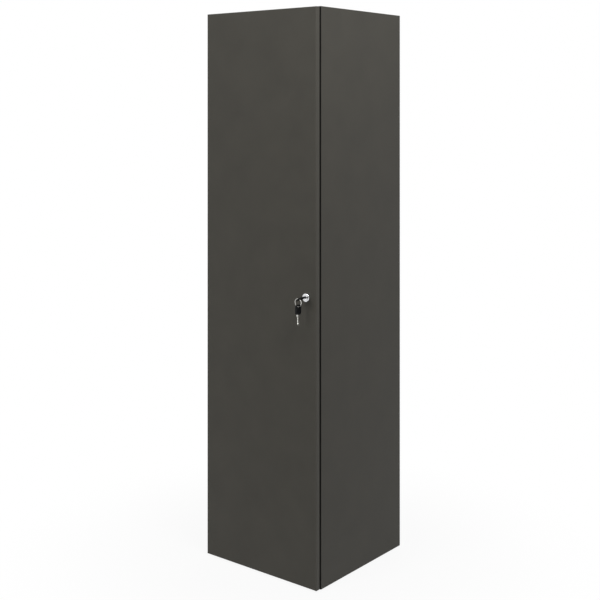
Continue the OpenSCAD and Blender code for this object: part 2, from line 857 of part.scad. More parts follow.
module glide_sleeves() {
    color(zinc_col) for (sx = [-1, 1], sy = [-1, 1]) at_glide(sx, sy)
        translate([0, 0, z_low]) difference() {
            cylinder(d = sleeve_d, h = sleeve_l);
            translate([0, 0, -eps]) cylinder(d = stem_d + 2 * stem_fit, h = sleeve_l + 2 * eps);
        }
}

// A levelling glide: a foot with a threaded stem, turned from inside
module glide(sx, sy) {
    ch = 1;
    r = glide_d / 2;
    color(plastic_col) at_glide(sx, sy) difference() {
        union() {
            rotate_extrude() polygon([
                [0, 0], [r - ch, 0], [r, ch], [r, glide_plate - ch], [r - ch, glide_plate],
                [0, glide_plate]
            ]);
            translate([0, 0, glide_plate - eps]) cylinder(d = stem_d, h = stem_l);
        }
        translate([0, 0, glide_plate + stem_l - hex_depth])
            cylinder(d = hex_w, h = hex_depth + eps, $fn = 6);
    }
}

module glide_front_left() glide(-1, -1);

module glide_front_right() glide(1, -1);

module glide_back_left() glide(-1, 1);

module glide_back_right() glide(1, 1);

left_side();
right_side();
top_board();
bottom_board();
back_panel();
hat_shelf();
carcass_edging();
shelf_edging();
door_board();
door_edging();
hinge_cups();
hinge_pins();
hinge_arms();
hinge_plates();
cup_screws();
plate_screws();
arm_screws();
lock_housing();
lock_nut();
lock_plug();
lock_cam();
cam_screw();
keeper();
keeper_screws();
key_head();
key_blade();
split_ring();
spare_key_head();
spare_key_blade();
door_stops();
shelf_supports();
clothes_rail();
rail_sockets();
rail_screws();
connector_cams();
connector_bolts();
dowels();
wall_brackets();
bracket_screws();
glide_sleeves();
glide_front_left();
glide_front_right();
glide_back_left();
glide_back_right();
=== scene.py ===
import logging
import math
from dataclasses import dataclass
from enum import Enum
from typing import Callable, Optional, Sequence, Union

import bmesh
import bpy
from mathutils import Matrix, Vector


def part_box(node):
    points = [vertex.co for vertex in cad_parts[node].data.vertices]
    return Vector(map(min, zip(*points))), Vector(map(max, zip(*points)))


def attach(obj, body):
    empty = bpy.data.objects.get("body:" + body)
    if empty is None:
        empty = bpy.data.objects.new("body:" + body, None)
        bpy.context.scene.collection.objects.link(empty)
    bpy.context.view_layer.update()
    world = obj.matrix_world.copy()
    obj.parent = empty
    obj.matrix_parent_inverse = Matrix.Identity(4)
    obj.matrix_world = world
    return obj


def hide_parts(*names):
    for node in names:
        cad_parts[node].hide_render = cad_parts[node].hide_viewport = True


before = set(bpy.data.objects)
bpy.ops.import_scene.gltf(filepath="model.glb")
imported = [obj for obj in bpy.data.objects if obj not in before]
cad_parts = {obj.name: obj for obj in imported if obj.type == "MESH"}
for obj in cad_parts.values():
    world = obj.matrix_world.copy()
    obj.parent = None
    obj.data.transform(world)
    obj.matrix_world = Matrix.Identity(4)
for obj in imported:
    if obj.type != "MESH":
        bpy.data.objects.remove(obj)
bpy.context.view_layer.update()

LOG = logging.getLogger("locker")

Number = Union[int, float]
Colour = tuple[float, float, float]
Point = tuple[float, float, float]
Pair = tuple[float, float]
Outline = list[Pair]
Radius = Union[float, Callable[[float], float]]
Levels = list[tuple[Radius, float]]
Box = tuple[Vector, Vector]
Piece = bpy.types.Object
Paint = bpy.types.Material

MM = 0.001
TURN = 2.0 * math.pi
SQUARE_ON = 0.99995     # a normal's part along an axis, from which a face counts as square
ROUNDED_ABOVE = 40.0    # edges that turn by more degrees than this are rounded
CAD_WELD = 2e-6         # vertices of the CAD mesh closer than this are one
FINE_WELD = 1e-7        # the same for plates and blades
WHITE = (1.0, 1.0, 1.0)


def srgb(red: int, green: int, blue: int) -> Colour:
    """Returns the linear colour of an sRGB triple of 0 to 255."""
    def linear(value: int) -> float:
        """Returns one channel without its display curve."""
        share = value / 255.0
        return share / 12.92 if share <= 0.04045 else ((share + 0.055) / 1.055) ** 2.4
    return linear(red), linear(green), linear(blue)


def shade(colour: Colour, factor: float) -> Colour:
    """Returns a colour made lighter or darker by a factor."""
    return tuple(min(1.0, channel * factor) for channel in colour)


class Sock:
    """A node socket that adds Math nodes when it is used in an expression."""

    def __init__(self, writer: "TreeWriter", socket: bpy.types.NodeSocket) -> None:
        """Keeps the output socket and the writer of its tree."""
        self.writer = writer
        self.socket = socket

    def __add__(self, other: "Value") -> "Sock":
        """Returns self + other."""
        return self.writer.maths("ADD", self, other)

    def __sub__(self, other: "Value") -> "Sock":
        """Returns self - other."""
        return self.writer.maths("SUBTRACT", self, other)

    def __rsub__(self, other: Number) -> "Sock":
        """Returns other - self."""
        return self.writer.maths("SUBTRACT", other, self)

    def __mul__(self, other: "Value") -> "Sock":
        """Returns self * other."""
        return self.writer.maths("MULTIPLY", self, other)

    def __truediv__(self, other: "Value") -> "Sock":
        """Returns self / other."""
        return self.writer.maths("DIVIDE", self, other)

    __radd__ = __add__
    __rmul__ = __mul__


Value = Union[Number, str, bool, Sock, bpy.types.ID, Sequence]


class TreeWriter:
    """Writes the nodes of one node tree."""

    def __init__(self, tree: bpy.types.NodeTree) -> None:
        """Keeps the tree."""
        self.tree = tree

    def add(self, kind: str, settings: Optional[dict] = None, inputs: Optional[dict] = None,
            output: Union[int, str] = 0) -> Sock:
        """Adds any node.

        Args:
            kind: The node's type name.
            settings: Its properties, set before its sockets.
            inputs: Values or sockets by input name or number.
            output: The output to return.

        Returns:
            The chosen output.
        """
        node = self.tree.nodes.new(kind)
        for key, value in (settings or {}).items():
            setattr(node, key, value)
        for key, value in (inputs or {}).items():
            self.feed(node.inputs[key], value)
        return Sock(self, node.outputs[output])

    def maths(self, operation: str, first: Value, second: Value = 0.0) -> Sock:
        """Adds one Math node and returns its result."""
        return self.add("ShaderNodeMath", {"operation": operation}, {0: first, 1: second})

    def feed(self, socket: bpy.types.NodeSocket, value: Value) -> None:
        """Links a socket to one or several outputs, or sets its value."""
        if isinstance(value, Sock):
            self.tree.links.new(value.socket, socket)
        elif isinstance(value, (int, float, str, bpy.types.ID)):
            socket.default_value = value
        elif isinstance(value[0], Sock):
            for one in value:
                self.tree.links.new(one.socket, socket)
        else:
            numbers = tuple(value)
            socket.default_value = numbers + (1.0,) * (len(socket.default_value) - len(numbers))

    def end(self, kind: str, result: Sock) -> None:
        """Ends the tree with an output node of a kind."""
        self.feed(self.tree.nodes.new(kind).inputs[0], result)


@dataclass(frozen=True)
class Grain:
    """A noise: cells in a metre, finer layers, and a scale of the axes that draws it out."""

    per_metre: float
    detail: float = 2.0
    stretch: Point = (1.0, 1.0, 1.0)


class ShaderWriter(TreeWriter):
    """One material with a Principled shader and the nodes that feed it."""

    def __init__(self, name: str) -> None:
        """Starts the material.

        Args:
            name: Its name.
        """
        self.material = bpy.data.materials.new(name)
        self.material.use_nodes = True
        super().__init__(self.material.node_tree)
        self.tree.nodes.clear()
        self.output = self.tree.nodes.new("ShaderNodeOutputMaterial")
        self.shader = self.tree.nodes.new("ShaderNodeBsdfPrincipled")
        self.feed(self.output.inputs[0], Sock(self, self.shader.outputs[0]))
        self.where = self.add("ShaderNodeTexCoord", output="Object")

    def set(self, **values: Value) -> None:
        """Feeds the shader's own sockets, such as Base_Color or Roughness."""
        for key, value in values.items():
            self.feed(self.shader.inputs[key.replace("_", " ")], value)

    def noise(self, grain: Grain) -> Sock:
        """Returns noise from 0 to 1."""
        vector = self.add("ShaderNodeMapping", {}, {"Vector": self.where, "Scale": grain.stretch})
        return self.add("ShaderNodeTexNoise", {}, {
            "Vector": vector, "Scale": grain.per_metre, "Detail": grain.detail})

    def cells(self, per_metre: float, output: str = "Distance") -> Sock:
        """Returns a Voronoi pattern with a number of cells per metre."""
        return self.add("ShaderNodeTexVoronoi", {}, {
            "Vector": self.where, "Scale": per_metre}, output)

    def blend(self, share: Value, first: Value, second: Value) -> Sock:
        """Returns a colour between two colours."""
        return self.add("ShaderNodeMix", {"data_type": "RGBA"},
                        {0: share, 6: first, 7: second}, 2)

    def bump(self, height: Sock, depth: float) -> None:
        """Feeds the shader's normal from a height whose depth is in metres."""
        self.set(Normal=self.add("ShaderNodeBump", {}, {"Height": height, "Distance": depth}))


@dataclass(frozen=True)
class Finish:
    """A surface whose tone follows one grain and whose relief follows another.

    lows and highs are its brightness where the tone's grain is low and high, and the two
    rough values say how much each grain moves the roughness.
    """

    colour: Colour
    roughness: float
    tone: Grain
    relief: Grain = Grain(400.0)
    tone_share: float = 1.0
    lows: float = 1.0
    highs: float = 1.0
    rough_tone: float = 0.0
    rough_relief: float = 0.0
    depth: float = 0.0
    metal: float = 0.0
    sheen: float = 0.5
    coat: float = 0.0

    def make(self, name: str) -> Paint:
        """Makes the material.

        Args:
            name: Its name.

        Returns:
            The material.
        """
        book = ShaderWriter(name)
        book.set(Metallic=self.metal, Specular_IOR_Level=self.sheen, Coat_Weight=self.coat)
        self.write(book)
        return book.material

    def write(self, book: ShaderWriter) -> None:
        """Writes what changes over the surface.

        Args:
            book: The material's writer.
        """
        tone, relief = book.noise(self.tone), book.noise(self.relief)
        book.set(Base_Color=book.blend(self.share(book, tone), shade(self.colour, self.lows),
                                       shade(self.colour, self.highs)),
                 Roughness=self.roughness + self.rough_tone * (tone - 0.5)
                 + self.rough_relief * (relief - 0.5))
        if self.depth:
            book.bump(relief, self.depth)

    def share(self, book: ShaderWriter, tone: Sock) -> Sock:
        """Returns how far the tone has gone from lows to highs, from 0 to 1."""
        return tone * self.tone_share


@dataclass(frozen=True)
class BoardFace(Finish):
    """Melamine-faced board: matt, faintly mottled, with a fine pearl texture."""

    colour: Colour = srgb(66, 64, 58)
    roughness: float = 0.50
    tone: Grain = Grain(9.0, 4.0)
    relief: Grain = Grain(900.0, 3.0)
    speck: Grain = Grain(1400.0)
    tone_share: float = 0.8
    lows: float = 0.76
    highs: float = 1.24
    rough_tone: float = 0.08
    rough_relief: float = 0.10
    depth: float = 0.05 * MM
    sheen: float = 0.22

    def share(self, book: ShaderWriter, tone: Sock) -> Sock:
        """Returns the share of the tone, with fine specks in it."""
        return tone * self.tone_share + book.noise(self.speck) * (1.0 - self.tone_share)


@dataclass(frozen=True)
class EdgeBand(Finish):
    """Thick plastic edge band: the face's colour, scraped smooth along its length."""

    colour: Colour = srgb(68, 66, 60)
    roughness: float = 0.48
    tone: Grain = Grain(12.0)
    relief: Grain = Grain(260.0, 3.0, (1.0, 1.0, 0.02))
    lows: float = 0.95
    highs: float = 1.06
    rough_relief: float = 0.12
    depth: float = 0.02 * MM
    sheen: float = 0.26


@dataclass(frozen=True)
class ChipCore(Finish):
    """Raw edge of the board: pressed wood chips of mixed browns, with painted shade in its small
    voids.
    """

    colour: Colour = srgb(204, 178, 138)
    roughness: float = 0.85
    tone: Grain = Grain(1600.0, 4.0)
    rough_tone: float = 0.1
    depth: float = 0.3 * MM
    sheen: float = 0.2
    dark: Colour = srgb(112, 88, 62)
    chips_per_metre: float = 420.0
    dust_share: float = 0.3
    # The void values paint shade into the hollows between the chips, darker than the chips
    # themselves.
    void_shade_share: float = 0.35
    void_shade_tone: float = 0.6
    void_shade_edge: float = 1.3
    void_depth: float = 0.4

    def write(self, book: ShaderWriter) -> None:
        """Writes the chips, and the voids between them in painted shade.

        Args:
            book: The material's writer.
        """
        chips = book.cells(self.chips_per_metre, "Color")
        edges = book.cells(self.chips_per_metre)
        dust = book.noise(self.tone)
        chip_tone = book.add("ShaderNodeSeparateColor", {}, {0: chips})
        tone = chip_tone * (1.0 - self.dust_share) + dust * self.dust_share
        # painted shade: darker away from each chip's centre, in the voids between the chips
        voids = book.blend(edges * self.void_shade_edge, self.colour, shade(self.dark, self.void_shade_tone))
        chip = book.blend(tone, self.dark, self.colour)
        book.set(Base_Color=book.blend(self.void_shade_share, chip, voids),
                 Roughness=self.roughness + self.rough_tone * dust)
        book.bump(tone - edges * self.void_depth, self.depth)


@dataclass(frozen=True)
class Plating(Finish):
    """Plated metal, brushed and dulled in patches."""

    colour: Colour = srgb(190, 190, 186)
    roughness: float = 0.27
    tone: Grain = Grain(60.0, 3.0)
    relief: Grain = Grain(900.0, 3.0)
    tone_share: float = 0.35
    highs: float = 0.7
    rough_tone: float = 0.07
    rough_relief: float = 0.07
    depth: float = 0.01 * MM
    metal: float = 1.0


@dataclass(frozen=True)
class Moulding(Finish):
    """Moulded plastic with a fine eroded texture and rubbed high spots."""

    colour: Colour = srgb(16, 17, 18)
    roughness: float = 0.40
    tone: Grain = Grain(90.0, 3.0)
    relief: Grain = Grain(2200.0)
    tone_share: float = 0.25
    highs: float = 2.0
    rough_tone: float = -0.10
    rough_relief: float = 0.14
    depth: float = 0.03 * MM
    sheen: float = 0.12


@dataclass(frozen=True)
class StopResin(Finish):
    """Pale soft resin of the small door stops."""

    colour: Colour = srgb(176, 178, 176)
    roughness: float = 0.28
    tone: Grain = Grain(400.0)
    highs: float = 1.15
    rough_tone: float = 0.12
    coat: float = 0.3


@dataclass(frozen=True)
class TurnedBeech(Finish):
    """Beech with its grain and rays, for the dowels."""

    colour: Colour = srgb(205, 168, 124)
    roughness: float = 0.65
    tone: Grain = Grain(500.0, 4.0, (0.06, 1.0, 1.0))
    relief: Grain = Grain(500.0, 4.0, (0.06, 1.0, 1.0))
    rays_per_metre: float = 900.0
    tone_share: float = 0.8
    lows: float = 0.7
    highs: float = 1.1
    rough_tone: float = 0.1
    depth: float = 0.08 * MM

    def share(self, book: ShaderWriter, tone: Sock) -> Sock:
        """Returns the share of the tone, with the rays in it."""
        rays = book.cells(self.rays_per_metre)
        return tone * self.tone_share + rays * (1.0 - self.tone_share)


class Finishes:
    """Every finish of the locker, made once and shared by its sub-assemblies."""

    def __init__(self) -> None:
        """Makes the materials."""
        self.board = BoardFace().make("board_face")
        self.back = BoardFace(colour=srgb(64, 62, 57), roughness=0.56).make("back_face")
        self.edging = EdgeBand().make("edge_band")
        # The case's front edge bands are painted near black: painted shade that stands in for the
        # dark seam between the door and the case.
        self.seam_shade_edging = EdgeBand(colour=srgb(25, 24, 22), sheen=0.14).make("dark_edge_band")
        self.core = ChipCore().make("chip_core")
        self.zinc = Plating().make("nickel_plate")
        self.steel = Plating(colour=srgb(176, 177, 178), roughness=0.36,
                             relief=Grain(900.0, 3.0, (1.0, 1.0, 0.05))).make("zinc_steel")
        self.chrome = Plating(colour=srgb(226, 227, 229), roughness=0.10, tone_share=0.08,
                              rough_tone=0.04, rough_relief=0.04).make("chrome")
        self.key_steel = Plating(colour=srgb(214, 213, 208), roughness=0.20, tone_share=0.15,
                                 rough_tone=0.08, rough_relief=0.08,
                                 relief=Grain(1600.0, 3.0, (1.0, 1.0, 0.04))).make("key_steel")
        self.black = Moulding().make("black_moulding")
        self.glide = Moulding(colour=srgb(38, 38, 39), roughness=0.5).make("glide_moulding")
        self.resin = StopResin().make("stop_resin")
        self.beech = TurnedBeech().make("beech")


class Toward(Enum):
    """The way a turned piece faces: its own +Z goes along this direction."""

    LEFT = (-1.0, 0.0, 0.0)
    RIGHT = (1.0, 0.0, 0.0)
    FRONT = (0.0, -1.0, 0.0)
    BACK = (0.0, 1.0, 0.0)
    UP = (0.0, 0.0, 1.0)
    DOWN = (0.0, 0.0, -1.0)
    INWARD = "from a side to the middle of the locker"
    ENDWARD = "to the nearer end of the locker, up or down"

    def direction(self, centre: Vector) -> Vector:
        """Returns the direction at a point.

        Args:
            centre: The point, which only INWARD and ENDWARD ask for.

        Returns:
            The direction, 1 long.
        """
        if self is Toward.INWARD:
            return Vector((-math.copysign(1.0, centre.x), 0.0, 0.0))
        if self is Toward.ENDWARD:
            halfway = middle(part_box("door_board")).z
            return Vector((0.0, 0.0, math.copysign(1.0, centre.z - halfway)))
        return Vector(self.value)


def placed(toward: Toward, centre: Vector) -> Matrix:
    """Returns the move that takes +Z to a direction and the origin to a point."""
    turn = Vector(Toward.UP.value).rotation_difference(toward.direction(centre))
    return Matrix.Translation(centre) @ turn.to_matrix().to_4x4()


def about_z(degrees: float) -> Matrix:
    """Returns a turn about Z."""
    return Matrix.Rotation(math.radians(degrees), 4, "Z")


def spun(centre: Vector, degrees: float) -> Matrix:
    """Returns a turn about a line along Y, leftwards as seen from the front."""
    turn = Matrix.Rotation(math.radians(-degrees), 4, "Y")
    return Matrix.Translation(centre) @ turn @ Matrix.Translation(-centre)


def linked(name: str, data: bpy.types.ID) -> Piece:
    """Puts a mesh, curve, lamp or camera into the scene.

    Args:
        name: The new object's name.
        data: What it shows.

    Returns:
        The object.
    """
    piece = bpy.data.objects.new(name, data)
    bpy.context.scene.collection.objects.link(piece)
    return piece


def welded(shape: bmesh.types.BMesh, distance: float) -> bmesh.types.BMesh:
    """Joins the vertices of a bmesh that are closer than a distance."""
    bmesh.ops.remove_doubles(shape, verts=shape.verts, dist=distance)
    return shape


def from_bmesh(name: str, shape: bmesh.types.BMesh, outwards: bool = True) -> Piece:
    """Makes a piece from a bmesh.

    Args:
        name: The piece's name.
        shape: Its bmesh, which is freed.
        outwards: Turns its faces outwards.

    Returns:
        The piece.
    """
    if outwards:
        bmesh.ops.recalc_face_normals(shape, faces=shape.faces)
    mesh = bpy.data.meshes.new(name)
    shape.to_mesh(mesh)
    shape.free()
    return linked(name, mesh)


def removed(piece: Piece) -> None:
    """Takes an object out of the file."""
    bpy.data.objects.remove(piece, do_unlink=True)


def flattened(piece: Piece) -> Piece:
    """Turns an object with its modifiers into a plain mesh at the origin.

    Args:
        piece: The object, which is used up.

    Returns:
        The plain piece, under the same name.
    """
    bpy.context.view_layer.update()
    evaluated = piece.evaluated_get(bpy.context.evaluated_depsgraph_get())
    mesh = bpy.data.meshes.new_from_object(evaluated)
    mesh.transform(piece.matrix_world)
    name = piece.name
    removed(piece)
    flat = linked(name, mesh)
    flat.name = name
    return flat


def merged(node: str) -> bmesh.types.BMesh:
    """Copies a CAD node's mesh and joins its loose triangles.

    Args:
        node: The CAD node.

    Returns:
        The copy.
    """
    shape = bmesh.new()
    shape.from_mesh(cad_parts[node].data)
    return welded(shape, CAD_WELD)


def solid_boxes(node: str) -> list[Box]:
    """Measures the separate solids of a CAD node.

    Args:
        node: The CAD node.

    Returns:
        The box of each solid, from low to high, left to right and front to back.
    """
    shape = merged(node)
    left = set(shape.verts)
    boxes = []
    while left:
        reached = [left.pop()]
        for vertex in reached:
            for edge in vertex.link_edges:
                other = edge.other_vert(vertex)
                if other in left:
                    left.discard(other)
                    reached.append(other)
        spread = [[vertex.co[axis] for vertex in reached] for axis in range(3)]
        boxes.append((Vector([min(line) for line in spread]),
                      Vector([max(line) for line in spread])))
    shape.free()
    return sorted(boxes, key=lambda box: [round(part, 4) for part in box[0].zxy])


def middle(box: Box) -> Vector:
    """Returns the centre of a box."""
    return (box[0] + box[1]) / 2.0


def first_size(node: str) -> Vector:
    """Returns the size along X, Y and Z of the first solid of a CAD node."""
    low, high = solid_boxes(node)[0]
    return high - low


def cad_copy(name: str, node: str) -> Piece:
    """Copies the shape of a CAD node, with clean flat faces.

    Args:
        name: The copy's name.
        node: The CAD node.

    Returns:
        The new piece.
    """
    shape = merged(node)
    bmesh.ops.dissolve_limit(shape, angle_limit=math.radians(0.5), verts=shape.verts,
                             edges=shape.edges)
    return from_bmesh(name, shape)


def smoothed(piece: Piece, degrees: float = 35.0) -> Piece:
    """Shades a piece smooth.

    Args:
        piece: The piece.
        degrees: Edges that turn more than this stay sharp.

    Returns:
        The same piece.
    """
    piece.data.shade_smooth()
    piece.data.set_sharp_from_angle(angle=math.radians(degrees))
    return piece


def softened(piece: Piece, width: float, segments: int = 2) -> Piece:
    """Rounds the edges of a piece.

    Args:
        piece: The piece, with no modifiers.
        width: Width of the rounding in metres.
        segments: Steps of the rounding.

    Returns:
        The rounded piece, which takes the old one's place.
    """
    smoothed(piece, ROUNDED_ABOVE)
    bevel = piece.modifiers.new("rounding", "BEVEL")
    bevel.width = width
    bevel.segments = segments
    bevel.limit_method = "ANGLE"
    bevel.angle_limit = math.radians(ROUNDED_ABOVE)
    piece = flattened(piece)
    for polygon in piece.data.polygons:
        polygon.use_smooth = max(abs(axis) for axis in polygon.normal) < SQUARE_ON
    return piece


def turned(name: str, levels: Levels, steps: int = 48, closed: bool = False) -> Piece:
    """Turns an outline round Z.

    Args:
        name: The piece's name.
        levels: (radius, height) pairs; a radius may be a function of the angle.
        steps: Steps of a full turn.
        closed: Joins the last level to the first, as on a ring.

    Returns:
        The turned piece.
    """
    shape = bmesh.new()
    rings = []
    for radius, height in levels:
        ring = []
        for step in range(1 if radius == 0.0 else steps):
            angle = TURN * step / steps
            reach = radius(angle) if callable(radius) else radius
            ring.append(shape.verts.new((reach * math.cos(angle), reach * math.sin(angle),
                                         height)))
        rings.append(ring)
    pairs = list(zip(rings, rings[1:]))
    if closed:
        pairs.append((rings[-1], rings[0]))
    for low, high in pairs:
        for step in range(steps):
            after = (step + 1) % steps
            if len(low) == 1:
                shape.faces.new((low[0], high[step], high[after]))
            elif len(high) == 1:
                shape.faces.new((low[step], low[after], high[0]))
            else:
                shape.faces.new((low[step], low[after], high[after], high[step]))
    return from_bmesh(name, shape)


def arc(centre: Pair, radius: float, start: float, end: float, count: int = 5) -> Outline:
    """Works out the points of an arc.

    Args:
        centre: Its centre.
        radius: Its radius.
        start: Angle of its first point in degrees.
        end: Angle of its last point.
        count: Number of its steps.

    Returns:
        The points, one more than the steps.
    """
    points = []
    for step in range(count + 1):
        angle = math.radians(start + (end - start) * step / count)
        points.append((centre[0] + radius * math.cos(angle),
                       centre[1] + radius * math.sin(angle)))
    return points


def circle(radius: float, count: int, centre: Pair = (0.0, 0.0)) -> Outline:
    """Returns the points of a circle, or of a polygon with few of them."""
    return arc(centre, radius, 0.0, 360.0, count)[:-1]


def rounded(width: float, height: float, radius: float, centre: Pair = (0.0, 0.0),
            count: int = 6) -> Outline:
    """Works out a rectangle with round corners.

    Args:
        width: Its size along X.
        height: Its size along Y.
        radius: Radius of its corners.
        centre: Its centre.
        count: Steps of each corner.

    Returns:
        Its points.
    """
    x, y = width / 2.0 - radius, height / 2.0 - radius
    points = []
    for sx, sy, start in ((1, 1, 0.0), (-1, 1, 90.0), (-1, -1, 180.0), (1, -1, 270.0)):
        corner = (centre[0] + sx * x, centre[1] + sy * y)
        points += arc(corner, radius, start, start + 90.0, count)
    return points


def thread(start: float, pitch: float, turns: int, profile: Levels) -> Levels:
    """Returns the levels of a thread.

    Args:
        start: Height of its lower end.
        pitch: Rise of each turn.
        turns: Number of turns.
        profile: (radius, height) pairs of one turn.

    Returns:
        The levels of every turn.
    """
    return [(radius, start + turn * pitch + rise)
            for turn in range(turns) for radius, rise in profile]


def plate(name: str, outlines: Sequence[Outline], low: float, high: float,
          rim: float) -> Piece:
    """Makes a flat plate with round rims between two heights.

    Args:
        name: The plate's name.
        outlines: The outer outline, then those of its holes.
        low: Height of its lower face.
        high: Height of its upper face.
        rim: Rounding of its rims.

    Returns:
        The plate.
    """
    curve = bpy.data.curves.new(name, "CURVE")
    curve.dimensions = "2D"
    curve.fill_mode = "BOTH"
    for outline in outlines:
        spline = curve.splines.new("POLY")
        spline.points.add(len(outline) - 1)
        spline.use_cyclic_u = True
        for point, (x, y) in zip(spline.points, outline):
            point.co = (x, y, 0.0, 1.0)
    curve.extrude = (high - low) / 2.0 - rim
    curve.bevel_depth = rim
    curve.bevel_resolution = 2
    curve.offset = -rim
    flat = linked(name, curve)
    flat.location.z = (low + high) / 2.0
    flat = flattened(flat)
    shape = bmesh.new()
    shape.from_mesh(flat.data)
    removed(flat)
    return smoothed(from_bmesh(name, welded(shape, FINE_WELD)), 50.0)


def moved(piece: Piece, move: Matrix) -> Piece:
    """Moves a piece's mesh, so that its object stays at the origin."""
    piece.data.transform(move)
    return piece


def joined(name: str, pieces: Sequence[Piece]) -> Piece:
    """Makes one unpainted piece of several.

    Args:
        name: The new piece's name.
        pieces: The pieces, which are used up.

    Returns:
        The new piece.
    """
    shape = bmesh.new()
    for piece in pieces:
        shape.from_mesh(piece.data)
        removed(piece)
    return from_bmesh(name, shape, outwards=False)


def carved(piece: Piece, cutter: Piece, operation: str = "DIFFERENCE") -> Piece:
    """Cuts a piece with another one, or unites the two.

    Args:
        piece: The piece.
        cutter: The other one, which is used up.
        operation: DIFFERENCE or UNION.

    Returns:
        The result, which takes the piece's place.
    """
    boolean = piece.modifiers.new("cut", "BOOLEAN")
    boolean.operation = operation
    boolean.solver = "EXACT"
    boolean.object = cutter
    result = flattened(piece)
    removed(cutter)
    return result


def crossed(piece: Piece, slot: Outline, low: float, high: float, rim: float) -> Piece:
    """Cuts a cross recess.

    Args:
        piece: The piece, whose axis is Z.
        slot: Outline of one slot of the cross.
        low: Height of the recess's floor.
        high: A height above the piece.
        rim: Rounding of the slots.

    Returns:
        The piece with its recess.
    """
    for degrees in (0.0, 90.0):
        piece = carved(piece, moved(plate("slot", [slot], low, high, rim), about_z(degrees)))
    return piece


def painted(piece: Piece, *paints: Paint) -> Piece:
    """Gives a piece its materials.

    Args:
        piece: The piece.
        paints: Its materials, of which the first goes on every face.

    Returns:
        The same piece.
    """
    piece.data.materials.clear()
    for paint in paints:
        piece.data.materials.append(paint)
    for face in piece.data.polygons:
        face.material_index = 0
    return piece


def fitted(piece: Piece, body: str, slot: str, *nodes: str) -> None:
    """Puts a finished piece on the empty of its CAD body and hides the CAD nodes that it stands
    for.

    Args:
        piece: The piece, with its materials.
        body: The CAD body that it rides on.
        slot: The record's material slot; not used.
        nodes: The CAD nodes that it stands for.
    """
    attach(piece, body)
    if nodes:
        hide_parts(*nodes)
    LOG.info("%s rides on %s, %d faces", piece.name, body, len(piece.data.polygons))


def kept(node: str, paint: Paint) -> None:
    """Gives a CAD node that stays in sight its material.

    Args:
        node: The CAD node.
        paint: The material.
    """
    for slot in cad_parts[node].material_slots:
        slot.material = paint
    LOG.info("%s keeps its CAD shape", node)


class ShapeTree(TreeWriter):
    """A Geometry Nodes tree with named inputs."""

    def __init__(self, name: str, sizes: dict[str, str]) -> None:
        """Starts the tree.

        Args:
            name: The tree's name.
            sizes: The kind of each named input, such as Float.
        """
        super().__init__(bpy.data.node_groups.new(name, "GeometryNodeTree"))
        self.keys = {label: self.face(label, "INPUT", kind)
                     for label, kind in {"Geometry": "Geometry", **sizes}.items()}
        self.face("Geometry", "OUTPUT", "Geometry")
        self.start = self.tree.nodes.new("NodeGroupInput")

    def face(self, label: str, way: str, kind: str) -> str:
        """Adds a named input or output and returns its identifier."""
        return self.tree.interface.new_socket(
            name=label, in_out=way, socket_type="NodeSocket" + kind).identifier

    def read(self, label: str) -> Sock:
        """Returns a named input as a socket."""
        return Sock(self, self.start.outputs[label])

    def template(self, label: str) -> Sock:
        """Returns the geometry of the object that a named input holds."""
        return self.add("GeometryNodeObjectInfo", {}, {"Object": self.read(label)}, "Geometry")

    def close(self, shape: Sock) -> None:
        """Ends the tree: real geometry with the input Material."""
        real = self.add("GeometryNodeRealizeInstances", {}, {0: shape})
        self.end("NodeGroupOutput", self.add("GeometryNodeSetMaterial", {}, {
            "Geometry": real, "Material": self.read("Material")}))

    def run(self, carrier: Piece, values: dict[str, Value]) -> Piece:
        """Grows the tree on an object and returns the plain mesh.

        Args:
            carrier: The object whose mesh the tree starts from; it is used up.
            values: A value for each named input.

        Returns:
            The resulting piece.
        """
        grower = carrier.modifiers.new("grown", "NODES")
        grower.node_group = self.tree
        for label, value in values.items():
            grower[self.keys[label]] = value
        return flattened(carrier)


@dataclass(frozen=True)
class Seat:
    """Where a repeated piece sits and the way it faces."""

    place: Vector
    direction: Vector


def seat(box: Box, toward: Toward, end: float, offset: float = 0.0) -> Seat:
    """Works out a piece's seat from the box of its CAD solid.

    Args:
        box: The box of the solid.
        toward: The way the piece faces.
        end: 1 at the end that it faces, 0 in the middle, -1 at the other end.
        offset: How much further that way.

    Returns:
        The seat.
    """
    centre = middle(box)
    facing = toward.direction(centre)
    half = abs(facing.dot(box[1] - box[0])) / 2.0
    return Seat(centre + facing * (end * half + offset), facing)


def seats_mesh(name: str, seats: Sequence[Seat]) -> Piece:
    """Makes loose points that hold their directions.

    Args:
        name: The object's name.
        seats: The seats.

    Returns:
        The object.
    """
    mesh = bpy.data.meshes.new(name)
    mesh.from_pydata([one.place for one in seats], [], [])
    axis = mesh.attributes.new("axis", "FLOAT_VECTOR", "POINT")
    axis.data.foreach_set("vector", [part for one in seats for part in one.direction])
    return linked(name, mesh)


class RowTree(ShapeTree):
    """Sets a template out on points, each with its own turn round its axis."""

    def __init__(self) -> None:
        """Writes the tree."""
        super().__init__("row_of_pieces", {
            "Template": "Object", "Spread": "Float", "Seed": "Int", "Material": "Material"})
        self.close(self.set_out(self.template("Template")))

    def set_out(self, instance: Sock) -> Sock:
        """Sets a geometry out on the tree's points.

        Args:
            instance: The geometry.

        Returns:
            The instances.
        """
        axis = self.add("GeometryNodeInputNamedAttribute", {"data_type": "FLOAT_VECTOR"},
                        {"Name": "axis"})
        facing = self.add("FunctionNodeAlignRotationToVector", {"axis": "Z"}, {"Vector": axis})
        angle = self.add("FunctionNodeRandomValue", {"data_type": "FLOAT"}, {
            2: self.read("Spread") * -1.0, 3: self.read("Spread"), "Seed": self.read("Seed")}, 1)
        spin = self.add("FunctionNodeAxisAngleToRotation", {}, {
            "Axis": (0.0, 0.0, 1.0), "Angle": angle})
        turn = self.add("FunctionNodeRotateRotation", {"rotation_space": "LOCAL"}, {
            "Rotation": facing, "Rotate By": spin})
        return self.add("GeometryNodeInstanceOnPoints", {}, {
            "Points": self.read("Geometry"), "Instance": instance, "Rotation": turn})


